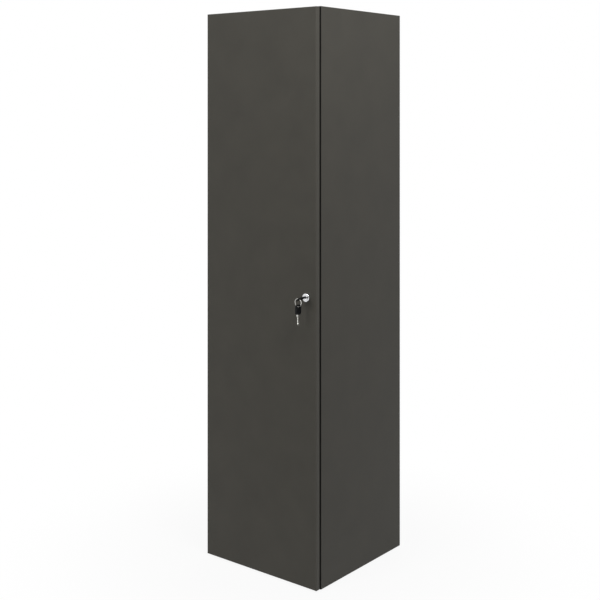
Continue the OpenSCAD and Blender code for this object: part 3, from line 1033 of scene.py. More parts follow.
@dataclass(frozen=True)
class ScrewSizes:
    """What all screws share; from head on, the sizes are shares of the shank's diameter."""

    head_height: float = 2.2 * MM
    head_share: float = 0.98
    head: float = 1.9
    pitch: float = 0.36
    core: float = 0.41
    thread_start: float = 0.32
    ridge: float = 0.09
    thread_inset: float = 0.1


SCREW = ScrewSizes()


class ScrewTree(RowTree):
    """Screws on points: a head from a template, a core and a rolled thread."""

    def __init__(self) -> None:
        """Writes the tree."""
        ShapeTree.__init__(self, "row_of_screws", {
            "Head": "Object", "Head diameter": "Float", "Head height": "Float",
            "Shank diameter": "Float", "Shank length": "Float", "Pitch": "Float",
            "Spread": "Float", "Seed": "Int", "Material": "Material"})
        wide, tall = self.read("Head diameter"), self.read("Head height")
        thick, long = self.read("Shank diameter"), self.read("Shank length")
        scale = self.add("ShaderNodeCombineXYZ", {}, {0: wide, 1: wide, 2: tall})
        head = self.shifted(self.template("Head"), Scale=scale)
        core = self.add("GeometryNodeMeshCylinder", {}, {
            "Vertices": 20, "Radius": thick * SCREW.core, "Depth": long})
        core = self.shifted(core, Translation=self.level(long * -0.5))
        path = self.add("GeometryNodeCurveSpiral", {}, {
            "Resolution": 14, "Rotations": long / self.read("Pitch") - 1.0,
            "Start Radius": thick * SCREW.thread_start, "End Radius": thick * SCREW.core,
            "Height": long - thick * (2.0 * SCREW.thread_inset)})
        loop = self.add("GeometryNodeCurvePrimitiveCircle", {}, {
            "Resolution": 4, "Radius": thick * SCREW.ridge})
        rolled = self.add("GeometryNodeCurveToMesh", {}, {
            "Curve": path, "Profile Curve": loop, "Fill Caps": True})
        rolled = self.shifted(rolled, Translation=self.level(thick * SCREW.thread_inset - long))
        whole = self.add("GeometryNodeJoinGeometry", {}, {0: [head, core, rolled]})
        self.close(self.set_out(self.add("GeometryNodeGeometryToInstance", {}, {0: whole})))

    def level(self, height: Sock) -> Sock:
        """Returns the point of the axis at a height."""
        return self.add("ShaderNodeCombineXYZ", {}, {2: height})

    def shifted(self, shape: Sock, **how: Sock) -> Sock:
        """Returns a geometry with a Translation or Scale."""
        return self.add("GeometryNodeTransform", {}, {"Geometry": shape, **how})


class RingTree(ShapeTree):
    """A split ring: a flat wire wound twice, that steps aside in a short ramp."""

    def __init__(self) -> None:
        """Writes the tree."""
        super().__init__("split_ring_coil", {
            "Radius": "Float", "Wire width": "Float", "Wire thickness": "Float",
            "Gap angle": "Float", "Material": "Material"})
        radius, gap, thick = map(self.read, ("Radius", "Gap angle", "Wire thickness"))
        line = self.add("GeometryNodeCurvePrimitiveLine", {"mode": "POINTS"})
        line = self.add("GeometryNodeResampleCurve", {}, {"Curve": line, "Count": 193})
        share = self.add("GeometryNodeSplineParameter")
        angle = gap + share * (2.0 * TURN - gap * 2.0)
        level = self.add("ShaderNodeMapRange", {"interpolation_type": "SMOOTHSTEP"}, {
            "Value": angle, "From Min": TURN - gap, "From Max": gap + TURN,
            "To Min": thick * -0.5, "To Max": thick * 0.5})
        place = self.add("ShaderNodeCombineXYZ", {}, {
            0: radius * self.maths("COSINE", angle), 1: radius * self.maths("SINE", angle),
            2: level})
        coil = self.add("GeometryNodeSetPosition", {}, {"Geometry": line, "Position": place})
        coil = self.add("GeometryNodeSetCurveNormal", {"mode": "Z_UP"}, {"Curve": coil})
        outline = self.add("GeometryNodeCurvePrimitiveQuadrilateral", {}, {
            "Width": self.read("Wire width"), "Height": thick * 0.97})
        outline = self.add("GeometryNodeFilletCurve", {"mode": "POLY"}, {
            "Curve": outline, "Count": 3, "Radius": thick * 0.25})
        self.close(self.add("GeometryNodeCurveToMesh", {}, {
            "Curve": coil, "Profile Curve": outline, "Fill Caps": True}))


class Repeats:
    """The Geometry Nodes trees and the rows that are grown from them."""

    def __init__(self) -> None:
        """Writes the trees and makes the screw head that they share."""
        self.rows = RowTree()
        self.screws = ScrewTree()
        self.rings = RingTree()
        self.seed = 3
        self.head = self.screw_head()

    def screw_head(self) -> Piece:
        """Returns a domed head with a cross recess, 1 wide and 1 high."""
        edge, dome = 0.34, 1.55
        levels = [(0.0, 0.0), (0.47, 0.0), (0.50, 0.12), (0.50, edge)]
        crown = arc((0.08, edge), 0.42, 0.0, 70.0, 6)[1:]
        levels += [(x, edge + (z - edge) * dome) for x, z in crown] + [(0.0, 1.0)]
        head = smoothed(turned("screw_head", levels, 40), 40.0)
        return smoothed(crossed(head, rounded(0.56, 0.13, 0.04), 0.45, 1.6, 0.01))

    def row(self, name: str, seats: Sequence[Seat], template: Piece, paint: Paint,
            spread: float = 0.0) -> Piece:
        """Sets a template out on seats.

        Args:
            name: The row's name.
            seats: A place and direction for each copy.
            template: The piece to repeat, which is used up.
            paint: The finish of the row.
            spread: The most that a copy is turned round its axis, either way.

        Returns:
            One piece that holds every copy.
        """
        self.seed += 1
        made = self.rows.run(seats_mesh(name, seats), {
            "Template": template, "Spread": spread, "Seed": self.seed, "Material": paint})
        removed(template)
        return smoothed(made)

    def screw_row(self, node: str, toward: Toward, shank: float, paint: Paint) -> Piece:
        """Makes the screws of a CAD node at their places.

        Args:
            node: The CAD node, whose heads are the widest part of each screw.
            toward: The way the heads face.
            shank: Diameter of the shank.
            paint: The finish.

        Returns:
            One piece that holds every screw of the node.
        """
        seats = [seat(box, toward, 1.0, -SCREW.head_height) for box in solid_boxes(node)]
        whole = abs(seats[0].direction.dot(first_size(node)))
        self.seed += 1
        return smoothed(self.screws.run(seats_mesh(node + "_made", seats), {
            "Head": self.head, "Head diameter": shank * SCREW.head,
            "Head height": SCREW.head_height * SCREW.head_share, "Shank diameter": shank,
            "Shank length": whole - SCREW.head_height, "Pitch": shank * SCREW.pitch,
            "Spread": math.pi, "Seed": self.seed, "Material": paint}))

    def ring(self, name: str, radius: float, wire: float, paint: Paint) -> Piece:
        """Returns a split ring round Z that fits a wire of a diameter."""
        return smoothed(self.rings.run(seats_mesh(name, [Seat(Vector(), Vector())]), {
            "Radius": radius, "Wire width": wire * 0.92, "Wire thickness": wire / 2.0,
            "Gap angle": math.radians(22.0), "Material": paint}), 50.0)


@dataclass
class SubAssembly:
    """What every sub-assembly of the locker shares."""

    finishes: Finishes
    repeats: Repeats

    def build(self) -> None:
        """Makes and dresses the pieces."""
        raise NotImplementedError

    def boarded(self, name: str, node: str, face: Paint, corner: float,
                body: str = "carcass", slot: str = "board", raw_back: bool = False) -> None:
        """Makes a faced board with its raw core in bores and grooves.

        Args:
            name: The piece's name.
            node: The CAD board.
            face: Finish of its faces.
            corner: Rounding of its edges.
            body: The CAD body that it rides on.
            slot: The record's material slot.
            raw_back: Leaves the rear edge raw.
        """
        piece = painted(cad_copy(name, node), face, self.finishes.core)
        low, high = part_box(node)
        skin = 0.3 * MM
        for polygon in piece.data.polygons:
            centre = polygon.center
            sunk = all(low[axis] + skin < centre[axis] < high[axis] - skin for axis in range(3))
            if sunk or (raw_back and centre.y > high.y - skin):
                polygon.material_index = 1
        fitted(softened(piece, corner), body, slot, node)

    def pressed(self, name: str, node: str, paint: Paint, corner: float,
                body: str = "carcass", slot: str = "zinc", segments: int = 3) -> None:
        """Makes a piece in the shape of its CAD node, with rounded edges.

        Args:
            name: The piece's name.
            node: The CAD node.
            paint: Its finish.
            corner: Rounding of its edges.
            body: The CAD body that it rides on.
            slot: The record's material slot.
            segments: Steps of the rounding.
        """
        piece = painted(cad_copy(name, node), paint)
        fitted(softened(piece, corner, segments), body, slot, node)

    def row(self, name: str, node: str, template: Piece, paint: Paint, toward: Toward,
            end: float, offset: float = 0.0, spread: float = 0.0, body: str = "carcass",
            slot: str = "zinc") -> None:
        """Sets a template out at the solids of a CAD node.

        Args:
            name: The piece's name.
            node: The CAD node.
            template: The piece to repeat, which is used up.
            paint: Its finish.
            toward: The way the copies face.
            end: 1 at the end that a solid faces, 0 in its middle, -1 at its other end.
            offset: How much further that way.
            spread: The most that a copy is turned round its axis, either way.
            body: The CAD body that it rides on.
            slot: The record's material slot.
        """
        seats = [seat(box, toward, end, offset) for box in solid_boxes(node)]
        fitted(self.repeats.row(name, seats, template, paint, spread), body, slot, node)

    def screwed(self, node: str, toward: Toward, shank: float, body: str = "carcass") -> None:
        """Makes the screws of a CAD node, which face one way, from their shank's diameter."""
        row = self.repeats.screw_row(node, toward, shank, self.finishes.steel)
        fitted(row, body, "zinc", node)


@dataclass
class Carcass(SubAssembly):
    """The boards of the case with their edge bands."""

    corner: float = 0.25 * MM
    band_corner: float = 0.15 * MM

    def build(self) -> None:
        """Makes the boards and bands."""
        looks = self.finishes
        for node, name in {"left_side": "side_left", "right_side": "side_right",
                           "top_board": "case_top", "bottom_board": "case_floor",
                           "hat_shelf": "hat_shelf_board"}.items():
            self.boarded(name, node, looks.board, self.corner, raw_back=node != "hat_shelf")
        self.boarded("back_sheet", "back_panel", looks.back, self.corner, slot="back")
        # The case's front bands carry the near-black painted shade of the door seam.
        for name, node, paint in (("case_bands", "carcass_edging", looks.seam_shade_edging),
                                  ("shelf_band", "shelf_edging", looks.edging)):
            self.pressed(name, node, paint, self.band_corner, slot="edging", segments=2)


@dataclass
class DoorLeaf(SubAssembly):
    """The door board, its bands and the soft stops behind its free edge."""

    corner: float = 0.12 * MM
    stop_dome: float = 1.4 * MM
    stop_foot: float = 0.6 * MM
    stop_taper: float = 0.94

    def build(self) -> None:
        """Makes the door."""
        looks = self.finishes
        self.boarded("door_leaf", "door_board", looks.board, self.corner, "door")
        self.pressed("door_bands", "door_edging", looks.edging, self.corner, "door", "edging", 2)
        self.stops()

    def stops(self) -> None:
        """Makes the domed stops."""
        width, height, _ = first_size("door_stops")
        radius, shoulder = width / 2.0, height - self.stop_dome
        top = radius * self.stop_taper
        levels = [(0.0, 0.0), (radius, 0.0), (radius, self.stop_foot), (top, shoulder)]
        levels += [(top * math.cos(angle), shoulder + self.stop_dome * math.sin(angle))
                   for angle in (0.3, 0.6, 0.9, 1.2, 1.45)]
        levels.append((0.0, height))
        self.row("soft_stops", "door_stops", turned("stop", levels, 32), self.finishes.resin,
                 Toward.BACK, -1.0, body="door", slot="clear")


@dataclass
class CupHinges(SubAssembly):
    """Concealed hinges: cups in the door, arms on plates at the left side."""

    cup_radius: float = 17.5 * MM
    cup_depth: float = 12.5 * MM
    cup_floor: float = 1.0 * MM
    cup_foot: float = 1.5 * MM
    flange: float = 1.0 * MM
    flange_rim: float = 0.25 * MM
    wing: Pair = (20.0 * MM, 62.0 * MM)
    wing_shift: float = 5.5 * MM
    wing_corner: float = 5.0 * MM
    pocket_start: float = -15.8 * MM
    pocket_end: float = 7.5 * MM
    pocket_width: float = 12.8 * MM
    pocket_corner: float = 1.6 * MM
    lip: float = 0.6 * MM
    lip_depth: float = 0.4 * MM
    screw_pitch: float = 48.0 * MM
    screw_hole: float = 3.5 * MM
    bead_width: float = 3.4 * MM
    bead_high: float = 0.9 * MM
    bead_gap: float = 8.0 * MM
    bead_end: float = 3.0 * MM
    set_screw: float = 5.0 * MM
    set_screw_gap: float = 12.0 * MM
    cup_corner: float = 0.12 * MM
    arm_corner: float = 0.45 * MM
    plate_corner: float = 0.5 * MM
    cup_screw: float = 3.5 * MM
    plate_screw: float = 5.0 * MM
    arm_screw: float = 6.0 * MM

    def build(self) -> None:
        """Makes the cups, arms, plates and their screws."""
        zinc = self.finishes.zinc
        self.row("hinge_cups_pressed", "hinge_cups", self.cup(), zinc, Toward.BACK, 1.0,
                 -self.flange, body="door")
        kept("hinge_pins", self.finishes.steel)
        arms = painted(cad_copy("arms_flat", "hinge_arms"), zinc)
        arms = softened(arms, self.arm_corner, 3)
        arms = painted(joined("hinge_arms_pressed", [arms, self.beads()]), zinc)
        fitted(smoothed(arms), "carcass", "zinc", "hinge_arms")
        self.pressed("hinge_plates_cast", "hinge_plates", zinc, self.plate_corner)
        fitted(self.set_screws(), "carcass", "zinc")
        self.screwed("cup_screws", Toward.BACK, self.cup_screw, "door")
        self.screwed("plate_screws", Toward.RIGHT, self.plate_screw)
        self.screwed("arm_screws", Toward.RIGHT, self.arm_screw)

    def cup(self) -> Piece:
        """Returns one hinge cup with its winged flange and pocket."""
        radius, foot, above = self.cup_radius, self.cup_foot, 5.0 * MM
        wing = rounded(*self.wing, self.wing_corner, (self.wing_shift, 0.0))
        cup, wings = [plate("cup", [outline], 0.0, self.flange, self.flange_rim)
                      for outline in (circle(radius, 64), wing)]
        bowl = [(0.0, -self.cup_depth)]
        bowl += arc((radius - foot, foot - self.cup_depth), foot, 270.0, 360.0)
        bowl += [(radius, self.flange / 2.0), (0.0, self.flange / 2.0)]
        cup = carved(carved(cup, wings, "UNION"), turned("bowl", bowl, 64), "UNION")
        span = self.pocket_end - self.pocket_start
        centre = ((self.pocket_start + self.pocket_end) / 2.0, 0.0)
        for lip, floor, rim in ((0.0, self.cup_floor - self.cup_depth, 0.6 * MM),
                                (self.lip, self.flange - self.lip_depth, 0.1 * MM)):
            pocket = rounded(span + 2.0 * lip, self.pocket_width + 2.0 * lip,
                             self.pocket_corner + lip, centre)
            cup = carved(cup, plate("pocket", [pocket], floor, above, rim))
        for side in (-0.5, 0.5):
            hole = circle(self.screw_hole / 2.0, 24, (self.wing_shift, side * self.screw_pitch))
            cup = carved(cup, plate("hole", [hole], -2.0 * MM, above, 0.05 * MM))
        return softened(cup, self.cup_corner, 1)

    def arm_faces(self) -> list[tuple[Vector, float]]:
        """Returns the rear end of each arm's outer face, with its fixing screw's place in Y."""
        return [(Vector((screw[1].x - SCREW.head_height, arm[1].y, middle(arm).z)),
                 middle(screw).y)
                for arm, screw in zip(solid_boxes("hinge_arms"), solid_boxes("arm_screws"))]

    def beads(self) -> Piece:
        """Returns the stiffening beads behind the fixing screws of the arms."""
        seats = []
        for face, screw_y in self.arm_faces():
            start, end = screw_y + self.bead_gap, face.y - self.bead_end
            seats.append(Seat(Vector((face.x, (start + end) / 2.0, face.z)),
                              Vector(Toward.RIGHT.value)))
        bead = rounded(self.bead_width, end - start, self.bead_width * 0.49)
        return self.repeats.row("arm_beads", seats,
                                plate("bead", [bead], -0.5 * MM, self.bead_high, 0.45 * MM),
                                self.finishes.zinc)

    def set_screws(self) -> Piece:
        """Returns the adjusting screws in front of the fixing screws."""
        radius, top, ease = self.set_screw / 2.0, 0.8 * MM, 0.3 * MM
        levels = [(0.0, -1.0 * MM), (radius, -1.0 * MM), (radius, top - ease),
                  (radius - ease, top), (0.0, top)]
        slot = rounded(self.set_screw * 0.8, 0.8 * MM, 0.2 * MM)
        screw = carved(turned("set_screw", levels, 32),
                       plate("slot", [slot], 0.3 * MM, 3.0 * MM, 0.05 * MM))
        seats = [Seat(Vector((face.x, screw_y - self.set_screw_gap, face.z)),
                      Vector(Toward.RIGHT.value)) for face, screw_y in self.arm_faces()]
        return self.repeats.row("hinge_set_screws", seats, screw, self.finishes.steel, math.pi)


@dataclass
class CamLock(SubAssembly):
    """The cam lock in the door and the keeper on the right side."""

    head_radius: float = 14.0 * MM
    head_length: float = 8.0 * MM
    rim: float = 1.6 * MM
    dish: float = 0.35 * MM
    bore: float = 7.06 * MM
    barrel: float = 10.75 * MM
    barrel_ease: float = 0.6 * MM
    door: float = 19.0 * MM
    thread_pitch: float = 1.25 * MM
    thread_depth: float = 0.5 * MM
    nut_flats: float = 27.0 * MM
    nut_thick: float = 5.0 * MM
    nut_ease: float = 1.1 * MM
    key_mouth: Pair = (9.6 * MM, 3.6 * MM)
    mouth_corner: float = 0.9 * MM
    mouth_depth: float = 0.45 * MM
    key_turn: float = 28.0
    plug_corner: float = 0.2 * MM
    cam_corner: float = 0.35 * MM
    keeper_corner: float = 0.45 * MM
    cam_screw: float = 5.0 * MM
    keeper_screw: float = 4.0 * MM

    def build(self) -> None:
        """Makes the lock."""
        steel = self.finishes.steel
        fitted(self.housing(), "door", "chrome", "lock_housing")
        fitted(self.nut(), "door", "zinc", "lock_nut")
        fitted(self.plug(), "lock_core", "chrome", "lock_plug")
        self.pressed("cam_pressed", "lock_cam", steel, self.cam_corner, "lock_core")
        self.screwed("cam_screw", Toward.BACK, self.cam_screw, "lock_core")
        self.pressed("keeper_angle", "keeper", steel, self.keeper_corner)
        self.screwed("keeper_screws", Toward.LEFT, self.keeper_screw)

    def on_axis(self, node: str) -> Vector:
        """Returns the point of the lock's axis at the front of a node."""
        centre = middle(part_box("lock_housing"))
        return Vector((centre.x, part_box(node)[0].y, centre.z))

    def housing(self) -> Piece:
        """Returns the turned head with its threaded barrel."""
        low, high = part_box("lock_housing")
        length, pitch, root = high.y - low.y, self.thread_pitch, self.barrel - self.thread_depth
        levels = [(self.bore, self.dish + 0.3 * MM), (self.bore + 0.3 * MM, self.dish),
                  (self.bore + 1.1 * MM, self.dish), (self.bore + 1.5 * MM, 0.0)]
        levels += arc((self.head_radius - self.rim, self.rim), self.rim, 270.0, 360.0, 7)
        levels += [(self.head_radius, self.head_length - 0.5 * MM),
                   (self.head_radius - 0.4 * MM, self.head_length),
                   (self.barrel, self.head_length)]
        start = self.head_length + self.door
        turns = math.ceil((length - start) / pitch - 1.6)
        levels += thread(start, pitch, turns, [
            (self.barrel, 0.0), (self.barrel, 0.25 * pitch), (root, 0.55 * pitch),
            (root, 0.75 * pitch)])
        levels += [(self.barrel, start + turns * pitch), (self.barrel, length - self.barrel_ease),
                   (self.barrel - self.barrel_ease, length), (self.bore, length)]
        head = turned("lock_head", levels, 96, closed=True)
        head = moved(head, placed(Toward.BACK, self.on_axis("lock_housing")))
        return painted(smoothed(head, 30.0), self.finishes.chrome)

    def nut(self) -> Piece:
        """Returns the hexagon nut with its chamfered corners."""
        flat, thick, ease = self.nut_flats / 2.0, self.nut_thick, self.nut_ease

        def corner_cut(limit: float) -> Callable[[float], float]:
            """Returns the hexagon's reach, held to a limit."""
            def reach(angle: float) -> float:
                """Returns the radius at an angle."""
                return min(limit, flat / math.cos(angle % (TURN / 6.0) - TURN / 12.0))
            return reach

        ends, full = corner_cut(flat + 0.4 * MM), corner_cut(flat * 1.2)
        levels = [(self.barrel, 0.0), (ends, 0.0), (full, ease), (full, thick - ease),
                  (ends, thick), (self.barrel, thick)]
        nut = turned("barrel_nut", levels, 72, closed=True)
        nut = moved(nut, placed(Toward.BACK, self.on_axis("lock_nut")))
        return painted(smoothed(nut, 25.0), self.finishes.zinc)

    def plug(self) -> Piece:
        """Returns the plug with its keyway, whose mouth is flared."""
        plug = softened(cad_copy("key_plug", "lock_plug"), self.plug_corner)
        mouth = rounded(*self.key_mouth, self.mouth_corner)
        cutter = plate("mouth", [mouth], -5.0 * MM, self.mouth_depth, 0.2 * MM)
        centre = self.on_axis("lock_plug")
        cutter = moved(cutter, spun(centre, self.key_turn) @ placed(Toward.BACK, centre))
        return painted(smoothed(carved(plug, cutter), 30.0), self.finishes.chrome)


@dataclass
class KeySet(SubAssembly):
    """Two keys with moulded heads on one split ring."""

    turn: float = 28.0
    ring_turn: float = 200.0
    head_size: Pair = (28.0 * MM, 33.0 * MM)
    head_thick: float = 4.5 * MM
    head_corner: float = 7.0 * MM
    head_rim: float = 0.55 * MM
    slot_end: float = 7.5 * MM
    slot: Pair = (12.0 * MM, 5.0 * MM)
    panel: Pair = (20.0 * MM, 13.6 * MM)
    panel_corner: float = 4.2 * MM
    panel_drop: float = 3.6 * MM
    panel_depth: float = 0.6 * MM
    rib: Pair = (12.4 * MM, 0.9 * MM)
    rib_pitch: float = 2.1 * MM
    rib_count: int = 5
    shoulder: tuple[float, float, float] = (16.0 * MM, 12.0 * MM, 7.5 * MM)
    blade_length: float = 28.0 * MM
    blade_width: float = 8.0 * MM
    blade_thick: float = 2.2 * MM
    blade_overlap: float = 1.0 * MM
    blade_steps: int = 90
    cut_count: int = 5
    cut_least: float = 0.85 * MM
    cut_step: float = 0.355 * MM
    cut_land: float = 0.25 * MM
    tip_slope: Pair = (2.6 * MM, 1.0 * MM)
    nick: float = 0.15 * MM
    grooves: Pair = (0.5 * MM, 0.55 * MM)
    wire: float = 2.0 * MM

    def build(self) -> None:
        """Makes the keys at their places and the ring between them."""
        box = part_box("key_head")
        x, _, z = middle(box)
        eye = Vector((x, box[0].y + self.slot_end, z))
        level = Matrix(((1, 0, 0, eye.x), (0, -1, 0, eye.y), (0, 0, -1, eye.z), (0, 0, 0, 1)))
        self.key("key", spun(eye, self.turn) @ level, "key", "key_head", "key_blade")
        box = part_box("spare_key_head")
        x, y, _ = middle(box)
        hanging = Matrix(((0, 0, 1, x), (1, 0, 0, y), (0, 1, 0, box[1].z - self.slot_end),
                          (0, 0, 0, 1)))
        self.key("spare", hanging, "spare_key", "spare_key_head", "spare_key_blade")
        low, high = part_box("split_ring")
        ring = self.repeats.ring("ring_coil", (high.x - low.x - self.wire) / 2.0, self.wire,
                                 self.finishes.key_steel)
        turn = placed(Toward.FRONT, middle((low, high))) @ about_z(self.ring_turn)
        fitted(moved(ring, turn), "key_ring", "steel", "split_ring")

    def key(self, name: str, place: Matrix, body: str, head_node: str, blade_node: str) -> None:
        """Makes one key.

        Args:
            name: Start of its pieces' names.
            place: Where the middle of its ring slot lies and how it is turned.
            body: The body that it rides on.
            head_node: The CAD head.
            blade_node: The CAD blade.
        """
        head = painted(self.head(name + "_grip"), self.finishes.black)
        fitted(moved(head, place), body, "black", head_node)
        blade = painted(self.blade(name + "_shank"), self.finishes.key_steel)
        fitted(moved(blade, place), body, "steel", blade_node)

    def head(self, name: str) -> Piece:
        """Makes a moulded head with its ring slot, panels and grip ribs.

        Args:
            name: The piece's name.

        Returns:
            The head, lying flat with the middle of its ring slot at the origin.
        """
        centre_y, half = self.slot_end - self.head_size[1] / 2.0, self.head_thick / 2.0
        outline = rounded(*self.head_size, self.head_corner, (0.0, centre_y), 10)
        slot = rounded(*self.slot, self.slot[1] * 0.499, count=10)
        head = plate(name, [outline, slot], -half, half, self.head_rim)
        panel_y = centre_y - self.panel_drop
        window = rounded(*self.panel, self.panel_corner, (0.0, panel_y), 8)
        seats = []
        for side in (-1.0, 1.0):
            low, high = sorted((side * (half - self.panel_depth), side * (half + 2.0 * MM)))
            head = carved(head, plate("window", [window], low, high, 0.25 * MM))
            for step in range(self.rib_count):
                y = panel_y + (step - (self.rib_count - 1) / 2.0) * self.rib_pitch
                seats.append(Seat(Vector((0.0, y, side * (half - 0.55 * MM))),
                                  Vector((0.0, 0.0, side))))
        rib = plate("rib", [rounded(*self.rib, 0.44 * MM)], 0.0, self.panel_depth + 0.1 * MM,
                    0.18 * MM)
        ribs = self.repeats.row("grip_ribs", seats, rib, self.finishes.black)
        return smoothed(joined(name, [head, ribs]))

    def cut_depth(self, along: float) -> float:
        """Works out how deep the blade is cut.

        Args:
            along: Distance from its shoulder.

        Returns:
            The depth of the cut.
        """
        pitch = self.blade_length / (self.cut_count + 2)
        depth = max(0.0, self.tip_slope[0] - (self.blade_length - along))
        for step in range(1, self.cut_count + 1):
            full = self.cut_least + self.cut_step * (step * 2 % 3)
            depth = max(depth, full - max(0.0, abs(along - step * pitch) - self.cut_land))
        return depth

    def section(self, along: float) -> Outline:
        """Works out the blade's cross-section with its milled grooves.

        Args:
            along: Distance from its shoulder.

        Returns:
            The outline.
        """
        half, edge, nick = self.blade_width / 2.0, self.blade_thick / 2.0, self.nick
        spine = half - max(0.0, self.tip_slope[1] - (self.blade_length - along))
        cut = self.cut_depth(along) - half
        near, far = (edge - depth for depth in self.grooves)
        points = [(cut, nick - edge), (cut + nick, -edge), (-1.9 * MM, -edge),
                  (-1.7 * MM, -near), (-0.5 * MM, -near), (-0.3 * MM, -edge),
                  (spine - nick, -edge), (spine, nick - edge), (spine, edge - nick),
                  (spine - nick, edge), (1.7 * MM, edge), (1.5 * MM, far), (0.1 * MM, far),
                  (-0.1 * MM, edge), (cut + nick, edge), (cut, edge - nick)]
        return [(max(x, cut), y) for x, y in points]

    def blade(self, name: str) -> Piece:
        """Makes the shoulder with the grooved and cut blade.

        Args:
            name: The piece's name.

        Returns:
            The blade, which lies as its head does.
        """
        top = self.slot_end - self.head_size[1]
        wide, narrow, tall = self.shoulder
        side = [(wide / 2, top), (wide / 2, top - tall / 2), (narrow / 2, top - tall / 2),
                (narrow / 2, top - tall)]
        outline = [(-x, y) for x, y in side] + side[::-1]
        shoulder = plate(name, [outline], -self.blade_thick / 2, self.blade_thick / 2, 0.2 * MM)
        shape = bmesh.new()
        rings = []
        for number in range(self.blade_steps + 1):
            along = self.blade_length * number / self.blade_steps
            down = top - tall - (along if number else -self.blade_overlap)
            rings.append([shape.verts.new((x, down, z)) for x, z in self.section(along)])
        for low, high in zip(rings, rings[1:]):
            for corner in range(len(low)):
                shape.faces.new((low[corner - 1], low[corner], high[corner], high[corner - 1]))
        shape.faces.new(rings[0])
        shape.faces.new(rings[-1])
        blade = from_bmesh("blade", welded(shape, FINE_WELD))
        return smoothed(carved(shoulder, blade, "UNION"), 25.0)


@dataclass
class Interior(SubAssembly):
    """The clothes rail with its sockets and the pins under the hat shelf."""

    rail_wall: float = 1.2 * MM
    rail_ease: float = 0.3 * MM
    cup_corner: float = 0.7 * MM
    rail_screw: float = 3.5 * MM
    pin_round: float = 1.2 * MM

    def build(self) -> None:
        """Makes the rail, sockets and pins."""
        zinc = self.finishes.zinc
        fitted(self.rail(), "carcass", "chrome", "clothes_rail")
        self.pressed("rail_cups", "rail_sockets", zinc, self.cup_corner)
        self.screwed("rail_screws", Toward.INWARD, self.rail_screw)
        self.row("shelf_pins", "shelf_supports", self.pin(), zinc, Toward.INWARD, 0.0)

    def rail(self) -> Piece:
        """Returns the rail's tube."""
        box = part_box("clothes_rail")
        length, _, width = box[1] - box[0]
        radius, ease = width / 2.0, self.rail_ease
        bore = radius - self.rail_wall
        rail = turned("rail_tube", [
            (bore, 0.0), (radius - ease, 0.0), (radius, ease), (radius, length - ease),
            (radius - ease, length), (bore, length)], 64, closed=True)
        end = Vector((box[0].x, *middle(box).yz))
        return painted(smoothed(moved(rail, placed(Toward.RIGHT, end))), self.finishes.chrome)

    def pin(self) -> Piece:
        """Returns a shelf pin with a groove at the board and a round end."""
        length, _, width = first_size("shelf_supports")
        radius, half, end = width / 2.0, length / 2.0, self.pin_round
        levels = [(0.0, -half), (radius * 0.8, -half), (radius, 0.8 * MM - half),
                  (radius, -0.2 * MM), (radius * 0.86, 0.0), (radius * 0.86, 0.6 * MM),
                  (radius, 0.9 * MM)]
        levels += arc((radius - end, half - end), end, 0.0, 90.0, 4)
        levels.append((0.0, half))
        return turned("pin", levels, 32)


@dataclass
class Joinery(SubAssembly):
    """Connectors and dowels of the case, and the brackets that hold it to a wall."""

    in_side: float = 11.0 * MM
    cam_recess: float = 0.3 * MM
    cam_slot: Pair = (8.0 * MM, 1.8 * MM)
    cam_spread: float = 0.5
    bolt_reach: float = 24.0 * MM
    bolt_turns: int = 7
    bolt_pitch: float = 1.4 * MM
    dowel_flutes: float = 16.0
    dowel_ease: float = 1.2 * MM
    bracket_corner: float = 0.5 * MM
    bracket_screw: float = 4.0 * MM

    def build(self) -> None:
        """Makes the joinery."""
        looks = self.finishes
        self.row("corner_cams", "connector_cams", self.cam(), looks.zinc, Toward.ENDWARD, 1.0,
                 spread=self.cam_spread)
        self.row("corner_bolts", "connector_bolts", self.bolt(), looks.zinc, Toward.INWARD,
                 -1.0, self.in_side)
        self.row("fluted_dowels", "dowels", self.dowel(), looks.beech, Toward.INWARD, -1.0,
                 self.in_side, math.pi, slot="dowel")
        self.pressed("bracket_angles", "wall_brackets", looks.steel, self.bracket_corner)
        self.screwed("bracket_screws", Toward.DOWN, self.bracket_screw)

    def cam(self) -> Piece:
        """Returns a connector cam with its cross recess."""
        width, _, depth = first_size("connector_cams")
        radius, sunk = width / 2.0, -self.cam_recess
        levels = [(0.0, -depth), (radius, -depth), (radius, -0.5 * MM),
                  (radius - 0.5 * MM, 0.0), (radius - 1.4 * MM, 0.0),
                  (radius - 1.6 * MM, sunk), (0.0, sunk)]
        return crossed(turned("cam", levels), rounded(*self.cam_slot, 0.5 * MM),
                       -3.5 * MM, 2.0 * MM, 0.1 * MM)

    def bolt(self) -> Piece:
        """Returns a connector bolt, whose origin is where it leaves the side."""
        tip, shank, neck, head = 2.5 * MM, 3.0 * MM, 2.0 * MM, 3.5 * MM
        start, end = -self.in_side, self.bolt_reach
        levels = [(0.0, start), (tip * 0.6, start)]
        levels += thread(start + 0.8 * MM, self.bolt_pitch, self.bolt_turns, [
            (tip * 0.76, 0.0), (tip, 0.6 * MM), (tip, 0.8 * MM)])
        levels += [(shank, 0.0), (shank, end - 6.0 * MM), (neck, end - 5.5 * MM),
                   (neck, end - 2.6 * MM), (head, end - 2.2 * MM), (head, end - 0.8 * MM),
                   (head * 0.6, end), (0.0, end)]
        return turned("bolt", levels, 28)

    def dowel(self) -> Piece:
        """Returns a fluted dowel, whose origin is where it leaves the side."""
        length, _, width = first_size("dowels")
        radius, start, ease = width / 2.0, -self.in_side, self.dowel_ease
        end = length + start

        def fluted(angle: float) -> float:
            """Returns the radius at an angle."""
            return radius - 0.12 * MM * (1.0 + math.cos(self.dowel_flutes * angle))

        levels = [(0.0, start), (radius * 0.72, start), (fluted, start + ease),
                  (fluted, end - ease), (radius * 0.72, end), (0.0, end)]
        return turned("dowel", levels, 64)


